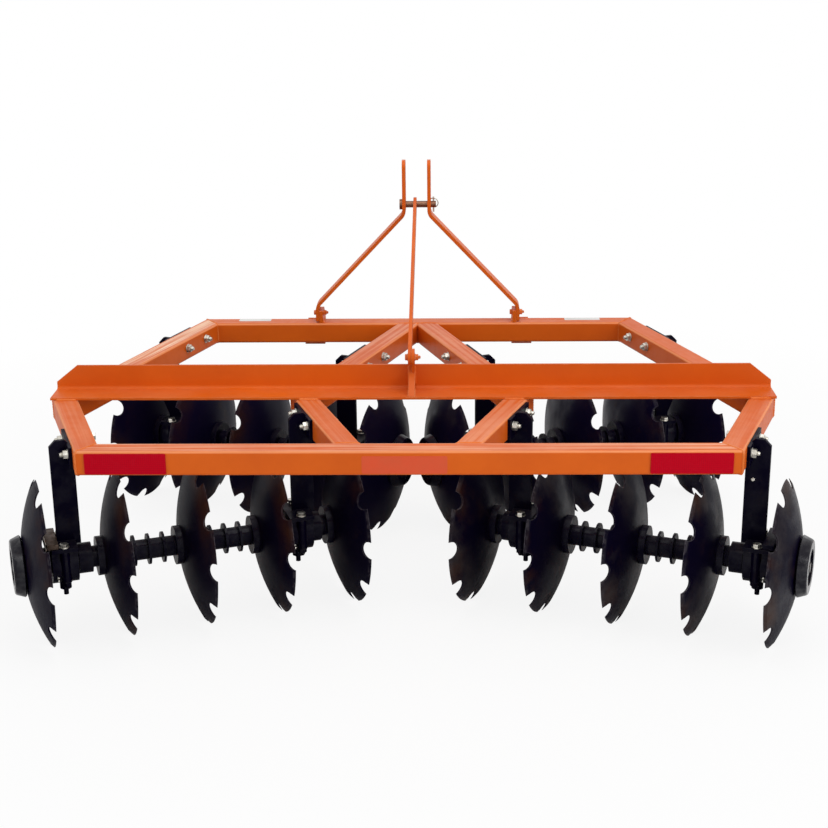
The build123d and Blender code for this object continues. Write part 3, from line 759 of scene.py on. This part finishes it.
# %% [markdown]
# ## Building pieces
# New pieces are made with bmesh, Blender's mesh workshop. Round things are turned: a half profile is spun
# about an axis, as on a lathe. Hexagons start as a six-sided prism whose rim is bevelled. Each piece is built
# straight in its place, so its object stays at the origin and its texture coordinates stay put.

# %% Finish a piece
SHARP_ANGLE, SAME_PLACE = math.radians(32), 1e-6


def to_piece(name, bm, body, material):
    """Turns a bmesh into an object that rides on a CAD body."""
    bmesh.ops.remove_doubles(bm, verts=bm.verts, dist=SAME_PLACE)
    bmesh.ops.recalc_face_normals(bm, faces=bm.faces)
    for face in bm.faces:
        face.smooth = True
    for edge in bm.edges:
        edge.smooth = edge.calc_face_angle(0) < SHARP_ANGLE
    mesh = bpy.data.meshes.new(name)
    bm.to_mesh(mesh)
    bm.free()
    mesh.materials.append(material)
    made = bpy.data.objects.new(name, mesh)
    bpy.context.scene.collection.objects.link(made)
    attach(made, body)
    print(name, len(mesh.polygons), "faces")


def facing(place, direction):
    """Matrix that puts a shape's Z along a direction and its origin at a place."""
    return Matrix.Translation(place) @ Vector(direction).to_track_quat("Z", "X").to_matrix().to_4x4()


# %% Stamps: small shapes made once and copied to their places
RIM_SHARE = 0.09            # a hexagon's bevel, as a share of its width
THREAD_PITCH, THREAD_DEPTH = 0.002, 0.0009


def stamp_from(bm):
    """Keeps a small shape as a mesh that stamp() copies from."""
    bmesh.ops.remove_doubles(bm, verts=bm.verts, dist=SAME_PLACE)
    mesh = bpy.data.meshes.new("stamp")
    bm.to_mesh(mesh)
    bm.free()
    return mesh


def stamp(bm, mesh, matrix):
    """Copies the stamp's mesh into bm at the matrix."""
    start = len(bm.verts)
    bm.from_mesh(mesh)
    bm.verts.ensure_lookup_table()
    bmesh.ops.transform(bm, matrix=matrix, verts=bm.verts[start:])


def turned(profile, steps=28, bm=None):
    """Spins a profile of (radius, height) pairs about Z, as on a lathe."""
    bm = bm or bmesh.new()
    verts = [bm.verts.new((radius, 0, height)) for radius, height in profile]
    edges = [bm.edges.new(pair) for pair in zip(verts, verts[1:])]
    bmesh.ops.spin(bm, geom=verts + edges, cent=(0, 0, 0), axis=(0, 0, 1), angle=2 * math.pi, steps=steps,
                   use_merge=True, use_duplicate=False)
    return bm


def hexagon(bm, across, low, high):
    """Hexagonal prism whose upper rim is bevelled."""
    radius = across / math.sqrt(3)
    made = bmesh.ops.create_cone(bm, cap_ends=True, segments=6, radius1=radius, radius2=radius,
                                 depth=high - low, matrix=Matrix.Translation((0, 0, (high + low) / 2)))
    rim = [edge for edge in bm.edges
           if edge.verts[0] in made["verts"] and all(vert.co.z > high - SAME_PLACE for vert in edge.verts)]
    bmesh.ops.bevel(bm, geom=rim, offset=RIM_SHARE * across, offset_type="OFFSET", affect="EDGES", segments=2,
                    profile=0.5, material=-1)


def thread_profile(radius, low, high):
    """Half profile of a threaded end, with a small chamfer on its tip."""
    pitch, root = THREAD_PITCH, radius - THREAD_DEPTH
    profile = [(root, low)]
    for turn in range(int((high - low - pitch) / pitch)):
        start = low + turn * pitch
        profile += [(radius, start + 0.4 * pitch), (radius, start + 0.6 * pitch), (root, start + pitch)]
    return profile + [(radius - 2 * THREAD_DEPTH, high), (0, high)]


# %% Bolts and nuts
# M12: its head and nut are 19 mm across the flats.
ACROSS, SHANK, WASHER_RADIUS, WASHER_HEIGHT = 0.019, 0.006, 0.0125, 0.0025
HEAD_HEIGHT, NUT_HEIGHT, THREAD_END = 0.0078, 0.010, 0.0075
WASHER = [(SHANK, 0), (WASHER_RADIUS - 0.0005, 0), (WASHER_RADIUS, 0.0006),
          (WASHER_RADIUS, WASHER_HEIGHT - 0.0006), (WASHER_RADIUS - 0.0006, WASHER_HEIGHT),
          (SHANK, WASHER_HEIGHT)]


def head_stamp():
    """Washer and hexagonal head, standing on the plane where Z is 0."""
    bm = turned(WASHER)
    hexagon(bm, ACROSS, WASHER_HEIGHT, WASHER_HEIGHT + HEAD_HEIGHT)
    return stamp_from(bm)


def nut_stamp():
    """Washer and nut, and the threaded end that stands out of it."""
    bm = turned(WASHER)
    top = WASHER_HEIGHT + NUT_HEIGHT
    hexagon(bm, ACROSS, WASHER_HEIGHT, top)
    turned(thread_profile(SHANK, top - 0.001, top + THREAD_END), 20, bm)
    return stamp_from(bm)


bolt_head = head_stamp()
bolt_nut = nut_stamp()
print("stamps", len(bolt_head.polygons), len(bolt_nut.polygons), "faces")


def fasten(head_bm, nut_bm, place, direction, grip, size=1.0):
    """Bolt through a stack of plates: its head looks along the direction, its nut lies a grip behind."""
    direction = Vector(direction)
    for bm, mesh, end, way in ((head_bm, bolt_head, place, direction),
                               (nut_bm, bolt_nut, place - direction * grip, -direction)):
        spin = Matrix.Rotation(dice.uniform(0, math.pi / 3), 4, "Z")
        stamp(bm, mesh, facing(end, way) @ spin @ Matrix.Scale(size, 4))


# %% [markdown]
# ## The hangers' bolts
# Each hanger is a flat bar with an ear plate that lies on the tube's outer face. Two bolts go through the ear
# and the tube, and two more hold the bearing under the bar's foot. In the photograph the rear hangers show
# their nuts on the outside, and the front hangers show theirs on the tubes' inner faces.

# %% Bolts of each gang's hangers
EAR, FACE_OFFSET, BAR_HALF = 0.008, 0.021, 0.005
# How far out from a hanger its bearing sits, and where along the tube its ear's bolts are
BEARING_SHIFT = {"rear": 0.016, "front": -0.022}
EAR_BOLTS, EAR_BOLT_HEIGHT = {"rear": (-0.024, 0.084), "front": (-0.031, 0.077)}, 0.480
# The foot's top lies above the axle and the underside of the housing's bosses below it
FOOT_BOLT_SPREAD, FOOT_TOP, BOSS_LOW = 0.046, 0.052, 0.034
# One hanger has a small screw in its bar
SCREW_GANG, SCREW_INWARD, SCREW_HEIGHT, SCREW_SIZE = "rear_right", 0.009, 0.408, 0.35


def hanger_reaches(gang):
    """How far out from the axle's middle each hanger stands, beside the outer face of its tube."""
    bends = (OUTER_BEND, INNER_BEND) if gang["end"] == "rear" else (INNER_BEND, OUTER_BEND)
    middles = (Vector((gang["side"] * x, y, gang["middle"].z)) for x, y in bends)
    return [(middle - gang["middle"]).dot(gang["out"]) + TUBE / 2 + FACE_OFFSET for middle in middles]


def hanger_bolts(gang):
    """The bolts of one gang's two hangers: plated ones in the ears, black nuts below the bearings."""
    plated, dark = bmesh.new(), bmesh.new()
    out, along, end = gang["out"], gang["along"], gang["end"]
    reaches = hanger_reaches(gang)
    for reach in reaches:
        bar = gang["middle"] + out * reach
        for shift in EAR_BOLTS[end]:
            ear = bar - out * FACE_OFFSET + along * shift
            ear.z = EAR_BOLT_HEIGHT
            if end == "rear":
                fasten(plated, plated, ear - out * TUBE, -out, TUBE + EAR)
            else:
                fasten(plated, plated, ear + out * EAR, out, TUBE + EAR)
        for way in (-1, 1):
            foot = bar + out * BEARING_SHIFT[end] + along * (way * FOOT_BOLT_SPREAD) + up * FOOT_TOP
            fasten(plated, dark, foot, up, FOOT_TOP + BOSS_LOW)
    if gang["name"] == SCREW_GANG:
        screw = gang["middle"] + out * (reaches[0] - SCREW_INWARD) - along * BAR_HALF
        screw.z = SCREW_HEIGHT
        stamp(plated, bolt_head, facing(screw, -along) @ Matrix.Scale(SCREW_SIZE, 4))
    to_piece(f"{gang['name']}_hanger_bolts", plated, "frame", zinc)
    to_piece(f"{gang['name']}_bearing_nuts", dark, "frame", cast_iron)


for gang in gangs:
    hanger_bolts(gang)

# %% Grease nipples on the housings


def nipple_stamp():
    """A nipple's foot, waist and ball, turned in one piece."""
    profile = [(0.0045, 0), (0.0045, 0.003), (0.0026, 0.0042), (0.0026, 0.0075), (0.0034, 0.009),
               (0.0034, 0.0105), (0.0018, 0.0125), (0, 0.0125)]
    return stamp_from(turned(profile, 16))


nipple = nipple_stamp()
HOUSING_RADIUS, NIPPLE_TURN, NIPPLE_SIDE, NIPPLE_SINK = 0.052, math.radians(28), 0.020, 0.0004


def grease_nipples(gang):
    """One nipple low on the near side of each housing, beside its middle."""
    bm = bmesh.new()
    slant = -gang["along"] * math.cos(NIPPLE_TURN) - up * math.sin(NIPPLE_TURN)
    for reach in hanger_reaches(gang):
        middle = gang["middle"] + gang["out"] * (reach + BEARING_SHIFT[gang["end"]] + NIPPLE_SIDE)
        stamp(bm, nipple, facing(middle + slant * (HOUSING_RADIUS - NIPPLE_SINK), slant))
    to_piece(f"{gang['name']}_grease_nipples", bm, "frame", zinc)


for gang in gangs:
    grease_nipples(gang)

# %% [markdown]
# ## Weld beads
# Every joint of the frame is welded all round. A weld bead is a row of small overlapping ripples, so it is
# built as rings of eight points along the seam, each a little wider or narrower than the one before, and
# neighbouring rings are bridged. The rings sit half in the metal, and only their backs show.

# %% Bead along a seam
BEAD_RADIUS, BEAD_STEP = 0.0031, 0.0034
WIDE_RIPPLE, NARROW_RIPPLE, RIPPLE_VARIES, BEAD_END = 1.08, 0.90, (0.93, 1.07), 0.55


def ring_edges(bm, place, direction, radius):
    """One ring of a bead, across its direction."""
    matrix = facing(place, direction) @ Matrix.Diagonal((radius, radius, 1, 1))
    verts = bmesh.ops.create_circle(bm, cap_ends=False, segments=8, radius=1, matrix=matrix)["verts"]
    return list({edge for vert in verts for edge in vert.link_edges})


def resampled(points, step):
    """Evenly spaced points along a line of points."""
    spaced = []
    for a, b in zip(points, points[1:]):
        count = max(1, round((b - a).length / step))
        spaced += [a.lerp(b, i / count) for i in range(count)]
    return spaced + [points[-1]]


def bead(bm, points, radius=BEAD_RADIUS, closed=False):
    """Rippled weld bead along a line of points."""
    path = resampled(points + points[:1] if closed else points, BEAD_STEP)
    if closed:
        path.pop()
    rings = []
    for i, place in enumerate(path):
        before = path[i - 1] if closed or i else path[i]
        after = path[(i + 1) % len(path)] if closed or i + 1 < len(path) else path[i]
        ripple = (WIDE_RIPPLE if i % 2 else NARROW_RIPPLE) * dice.uniform(*RIPPLE_VARIES)
        at_end = not closed and i in (0, len(path) - 1)
        rings.append(ring_edges(bm, place, after - before, radius * (BEAD_END if at_end else ripple)))
    pairs = list(zip(rings, rings[1:])) + ([(rings[-1], rings[0])] if closed else [])
    for a, b in pairs:
        bmesh.ops.bridge_loops(bm, edges=a + b)
    if not closed:
        for ends in (rings[0], rings[-1]):
            bmesh.ops.contextual_create(bm, geom=ends)


# %% Seams of the frame
MIDDLE_HEIGHT = FRAME_TOP - TUBE / 2
SINK, CORNER = 0.0012, 0.007        # a bead's depth in the metal, and a tube's rounded corner
INNER_END, FRONT_END = REAR_FACE + TUBE, FRONT_FACE - TUBE
# Joints of one side: place, turn of the cut from X in degrees, and half of its run
TUBE_JOINTS = {
    "rear corner": (REAR_BEAM[1].x - MITRE_INWARD, REAR_FACE + TUBE / 2, -55, MITRE),
    "front corner": (FRONT_BEAM[1].x - MITRE_INWARD, FRONT_FACE - TUBE / 2, 55, MITRE),
    "widest place": (*OUTER_BEND, 0, SKEW),
    "inner tubes' bend": (*INNER_BEND, 0, SKEW),
    "inner tube on rear beam": (middle_line(INNER_BEND, INNER_END), INNER_END, 0, SKEW),
}
# Both inner tubes meet the front beam in one joint
FRONT_JOINT_HALF = middle_line(INNER_BEND, FRONT_END) + SKEW


def tube_seam(bm, x, y, turn, half_run):
    """Bead round a square tube, in an upright plane turned by an angle from X."""
    run = Vector((math.cos(turn), math.sin(turn), 0))
    wide, high = half_run - SINK, TUBE / 2 - SINK
    middle = Vector((x, y, MIDDLE_HEIGHT))
    points = []
    for start, (sx, sz) in enumerate(((1, 1), (-1, 1), (-1, -1), (1, -1))):
        centre = middle + run * (sx * (wide - CORNER)) + up * (sz * (high - CORNER))
        for part in range(4):
            angle = math.pi / 2 * (start + part / 3)
            points.append(centre + run * (math.cos(angle) * CORNER) + up * (math.sin(angle) * CORNER))
    bead(bm, points, closed=True)


def frame_seams():
    """A bead round every joint of the tubes."""
    bm = bmesh.new()
    for side in (LEFT, RIGHT):
        for x, y, turn, half_run in TUBE_JOINTS.values():
            tube_seam(bm, side * x, y, side * math.radians(turn), half_run)
    tube_seam(bm, 0, FRONT_END, 0, FRONT_JOINT_HALF)
    to_piece("frame_weld_beads", bm, "frame", weld_paint)


frame_seams()

# %% Seams of the cross angle, the gusset and the hitch plates
ANGLE_BOX, ANGLE_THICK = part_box("cross_angle"), 0.006
LEG_FACE = ANGLE_BOX[1].y - ANGLE_THICK
SEAM_LIFT = 0.0008          # of a bead that lies on the frame's top
ANGLE_SEAM_HALF, ANGLE_BEAD = 0.025, 0.0036
PLATES, PLATE, BACK_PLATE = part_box("hitch_plates_right"), 0.011, 0.008
# Faces of one side's hitch plates: distance from the middle, in front of the beam, and below the frame's top
PLATE_SEAMS = (
    (PLATES[0].x, 0, 0.006), (PLATES[0].x + PLATE, BACK_PLATE, 0.006),
    (PLATES[1].x - PLATE, BACK_PLATE, 0.020), (PLATES[1].x, 0, 0.020),
)
PLATE_SEAM_LOW, LUG_SEAM = 0.056, (0.054, 0.004)
GUSSET_HALF, GUSSET_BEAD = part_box("brace_gusset")[1].x, 0.0028
# The gusset's seam on the angle's flat and leg: height or gap, and where it starts and ends
FLAT_SEAM_HEIGHT, FLAT_SEAM = 0.0065, (0.006, 0.010)
LEG_SEAM_GAP, LEG_SEAM = 0.0005, (0.016, 0.064)


def straight(bm, a, b, radius=BEAD_RADIUS):
    """Bead from one point to another."""
    bead(bm, [Vector(a), Vector(b)], radius)


def angle_seams(bm, side, lift):
    """Short beads along both edges of the cross angle, one on each tube."""
    for y in (ANGLE_BOX[0].y, ANGLE_BOX[1].y):
        for bend in (OUTER_BEND, INNER_BEND):
            x = side * middle_line(bend, y)
            straight(bm, (x - ANGLE_SEAM_HALF, y, lift), (x + ANGLE_SEAM_HALF, y, lift), ANGLE_BEAD)


def plate_seams(bm, side, lift):
    """Beads beside the lug on the beam's top, and down both faces of each hitch plate."""
    back, front = (FRONT_FACE - inward for inward in LUG_SEAM)
    for x, _, _ in PLATE_SEAMS[:2]:
        straight(bm, (side * x, back, lift), (side * x, front, lift))
    for x, forward, drop in PLATE_SEAMS:
        y = FRONT_FACE + forward
        straight(bm, (side * x, y, FRAME_TOP - PLATE_SEAM_LOW), (side * x, y, FRAME_TOP - drop))


def gusset_seams(bm, side):
    """A bead along the gusset's foot on the flat of the angle, and one up its leg."""
    x, low, leg = side * GUSSET_HALF, FRAME_TOP + FLAT_SEAM_HEIGHT, LEG_FACE - LEG_SEAM_GAP
    start, end = ANGLE_BOX[0].y + FLAT_SEAM[0], LEG_FACE - FLAT_SEAM[1]
    straight(bm, (x, start, low), (x, end, low), GUSSET_BEAD)
    straight(bm, (x, leg, FRAME_TOP + LEG_SEAM[0]), (x, leg, FRAME_TOP + LEG_SEAM[1]), GUSSET_BEAD)


def fitting_seams():
    """Beads of the cross angle, the hitch plates and the gusset, in one piece."""
    bm = bmesh.new()
    for side in (LEFT, RIGHT):
        angle_seams(bm, side, FRAME_TOP + SEAM_LIFT)
        plate_seams(bm, side, FRAME_TOP + SEAM_LIFT)
        gusset_seams(bm, side)
    to_piece("fitting_weld_beads", bm, "frame", weld_paint)


fitting_seams()

# %% [markdown]
# ## Mast fastenings
# The straps stand on their lugs with one bolt each, and the brace is bolted to the gusset's ear. These bolts
# are smaller than the hangers', and they were painted with the frame, so they have its paint and not zinc. A
# linch pin with a spring ring keeps the mast pin in its holes. The ring is a circle of wire, spun once round.

# %% Mast bolts
BEAM_Y = FRONT_FACE - TUBE / 2
LUG_INSIDE, STRAP_OUTSIDE = PLATES[0].x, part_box("mast_strap_right")[1].x
LUG_BOLT_HEIGHT, LUG_BOLT_SIZE = 0.026, 0.72
BRACE_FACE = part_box("rear_brace")[0].x
BRACE_BOLT_BACK, BRACE_BOLT_HEIGHT, BRACE_BOLT_SIZE = 0.022, 0.094, 0.75
TO_THE_LEFT = (-1, 0, 0)


def mast_bolts():
    """One bolt through each lug and its strap, and one through the brace and the gusset's ear."""
    bm = bmesh.new()
    for head_x in (-STRAP_OUTSIDE, LUG_INSIDE):
        lug = Vector((head_x, BEAM_Y, FRAME_TOP + LUG_BOLT_HEIGHT))
        fasten(bm, bm, lug, TO_THE_LEFT, STRAP_OUTSIDE - LUG_INSIDE, LUG_BOLT_SIZE)
    ear = Vector((BRACE_FACE, LEG_FACE - BRACE_BOLT_BACK, FRAME_TOP + BRACE_BOLT_HEIGHT))
    fasten(bm, bm, ear, TO_THE_LEFT, GUSSET_HALF - BRACE_FACE, BRACE_BOLT_SIZE)
    to_piece("mast_bolts", bm, "frame", weld_paint)


mast_bolts()

# %% Linch pin's ring
RING_RADIUS, WIRE_RADIUS, RING_DROP = 0.0135, 0.0015, 0.004
RING_FACES = (0.20, 1, 0.1)          # the way the ring's flat side looks


def linch_ring():
    """Spring ring of round wire through the linch pin's head."""
    low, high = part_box("linch_pin")
    bm = bmesh.new()
    centre = Vector(((low.x + high.x) / 2, (low.y + high.y) / 2, high.z - RING_DROP - RING_RADIUS))
    upright = Matrix.Translation((RING_RADIUS, 0, 0)) @ Matrix.Rotation(math.pi / 2, 4, "X")
    made = bmesh.ops.create_circle(bm, cap_ends=False, segments=10, radius=WIRE_RADIUS, matrix=upright)
    edges = list({edge for vert in made["verts"] for edge in vert.link_edges})
    bmesh.ops.spin(bm, geom=made["verts"] + edges, cent=(0, 0, 0), axis=(0, 0, 1), angle=2 * math.pi,
                   steps=40, use_merge=True, use_duplicate=False)
    bmesh.ops.transform(bm, matrix=facing(centre, RING_FACES), verts=bm.verts)
    to_piece("linch_ring", bm, "frame", zinc)


linch_ring()

# %% [markdown]
# ## Packing blocks
# On the feet of the two outer rear hangers the photograph shows a flat block clamped beside the bar, where a
# scraper bar would go. The left one still has its brown mill scale and a paler edge; the right one is black.

# %% Blocks
BLOCK_FROM, BLOCK_TO, BLOCK_HALF_RUN, BLOCK_HEIGHT = 0.0295, 0.057, 0.056, 0.013
LIP_THICK, LIP_DROP, LIP_HALF_RUN = 0.003, 0.006, 0.042
BLOCK_SOFT, LIP_SOFT, BLOCK_GAP = 0.0015, 0.0008, 0.0003
# Gangs that have a block, with the finish of the block, the finish of its lip, and their slot
PACKING = {
    "rear_left": (scale_steel, pale_steel, "axle_steel"),
    "rear_right": (black_paint, cast_iron, "black_cast_iron"),
}


def rounded_block(bm, matrix, size, soft):
    """Block with softened edges, given by its size in the matrix's directions."""
    cube = bmesh.ops.create_cube(bm, size=1, matrix=matrix @ Matrix.Diagonal((*size, 1)))
    edges = list({edge for vert in cube["verts"] for edge in vert.link_edges})
    bmesh.ops.bevel(bm, geom=edges, offset=soft, offset_type="OFFSET", affect="EDGES", segments=2,
                    profile=0.5, material=-1)


def packing_block(gang, block_finish, lip_finish, slot):
    """The block on the outer hanger's foot, and the thin lip on its outer edge."""
    out, along = gang["out"], gang["along"]
    turn = Matrix((out, along, up)).transposed().to_4x4()
    bar = gang["middle"] + out * hanger_reaches(gang)[0] + up * (FOOT_TOP + BLOCK_GAP)
    middle = bar + out * ((BLOCK_FROM + BLOCK_TO) / 2) + up * (BLOCK_HEIGHT / 2)
    block = bmesh.new()
    rounded_block(block, Matrix.Translation(middle) @ turn,
                  (BLOCK_TO - BLOCK_FROM, 2 * BLOCK_HALF_RUN, BLOCK_HEIGHT), BLOCK_SOFT)
    to_piece(f"{gang['name']}_packing_block", block, "frame", block_finish)
    place = bar + out * (BLOCK_TO + LIP_THICK / 2) + up * ((BLOCK_HEIGHT - LIP_DROP) / 2)
    lip = bmesh.new()
    rounded_block(lip, Matrix.Translation(place) @ turn,
                  (LIP_THICK, 2 * LIP_HALF_RUN, BLOCK_HEIGHT + LIP_DROP), LIP_SOFT)
    to_piece(f"{gang['name']}_packing_lip", lip, "frame", lip_finish)


for gang in gangs:
    if gang["name"] in PACKING:
        packing_block(gang, *PACKING[gang["name"]])

# %% [markdown]
# ## Blank labels
# There is a thin film on the middle of the rear beam, and there are two smaller ones on the front beam's top.
# They are plain, with rounded corners. A very thin box gives such a film, and a bevel on its four short edges
# rounds them.

# %% Label film
FILM_THICK, FILM_CORNER = 0.0004, 0.004
SIGN_X, SIGN_Z, SIGN_LENGTH, SIGN_HEIGHT = -0.0065, 0.4715, 0.198, 0.043
STICKERS = ((-0.488, 0.096), (0.4905, 0.105))       # the middle and the length of each
STICKER_INWARD, STICKER_HEIGHT = 0.020, 0.024


def make_film(name, base, aged):
    """Plain film that fades in patches and along its edges."""
    material, tree, sockets = new_material(name)
    patch = patches(tree, 22.0, 0.42, 0.72)
    tone = mixed(tree, times(tree, patch, 0.5), base, aged)
    worn = use_group(tree, edge_wear, Radius=0.0012, Grain=80.0, Amount=0.6)
    tone = tinted(tree, tone, aged, worn["Mask"])
    rough = plus(tree, times(tree, patch, 0.2), 0.34)
    height = use_group(tree, skin, Fine=240.0, Coarse=30.0, Lumps=1.5)["Height"]
    set_finish(tree, sockets, Base_Color=tone, Roughness=rough, Normal=bump(tree, height, 0.1, 0.0004),
               Specular_IOR_Level=0.35)
    return material


def film(bm, middle, upward, length, height):
    """Thin plate with rounded corners, its back on the surface at the middle and its length along X."""
    across = Vector((1, 0, 0))
    normal = across.cross(upward).normalized()
    turn = Matrix((across, upward, normal)).transposed().to_4x4()
    matrix = (Matrix.Translation(middle + normal * (FILM_THICK / 2)) @ turn
              @ Matrix.Diagonal((length, height, FILM_THICK, 1)))
    cube = bmesh.ops.create_cube(bm, size=1, matrix=matrix)
    edges = {edge for vert in cube["verts"] for edge in vert.link_edges}
    short = [e for e in edges if abs((e.verts[0].co - e.verts[1].co).normalized().dot(normal)) > 0.9]
    bmesh.ops.bevel(bm, geom=short, offset=FILM_CORNER, offset_type="OFFSET", affect="EDGES", segments=4,
                    profile=0.5, material=-1)


sign_film = make_film("sign_film", (0.70, 0.075, 0.018), (0.60, 0.09, 0.03))
sticker_film = make_film("sticker_film", (0.72, 0.72, 0.70), (0.50, 0.48, 0.45))


def labels():
    """The film on the rear beam is one piece, and the two on the front beam are another."""
    sign = bmesh.new()
    film(sign, Vector((SIGN_X, REAR_FACE, SIGN_Z)), up, SIGN_LENGTH, SIGN_HEIGHT)
    to_piece("blank_sign", sign, "frame", sign_film)
    stickers = bmesh.new()
    for x, length in STICKERS:
        film(stickers, Vector((x, FRONT_FACE - STICKER_INWARD, FRAME_TOP)), Vector((0, 1, 0)), length,
             STICKER_HEIGHT)
    to_piece("blank_stickers", stickers, "frame", sticker_film)


labels()

# %% [markdown]
# ## Size of the dressed model
# Dressing must not change the object's size, so the boxes of the bare and of the dressed model are written
# side by side.

# %% Sizes
dressed_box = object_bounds()
for title, box in (("cad", cad_box), ("dressed", dressed_box)):
    print(title, [round(v, 4) for corner in box for v in corner])
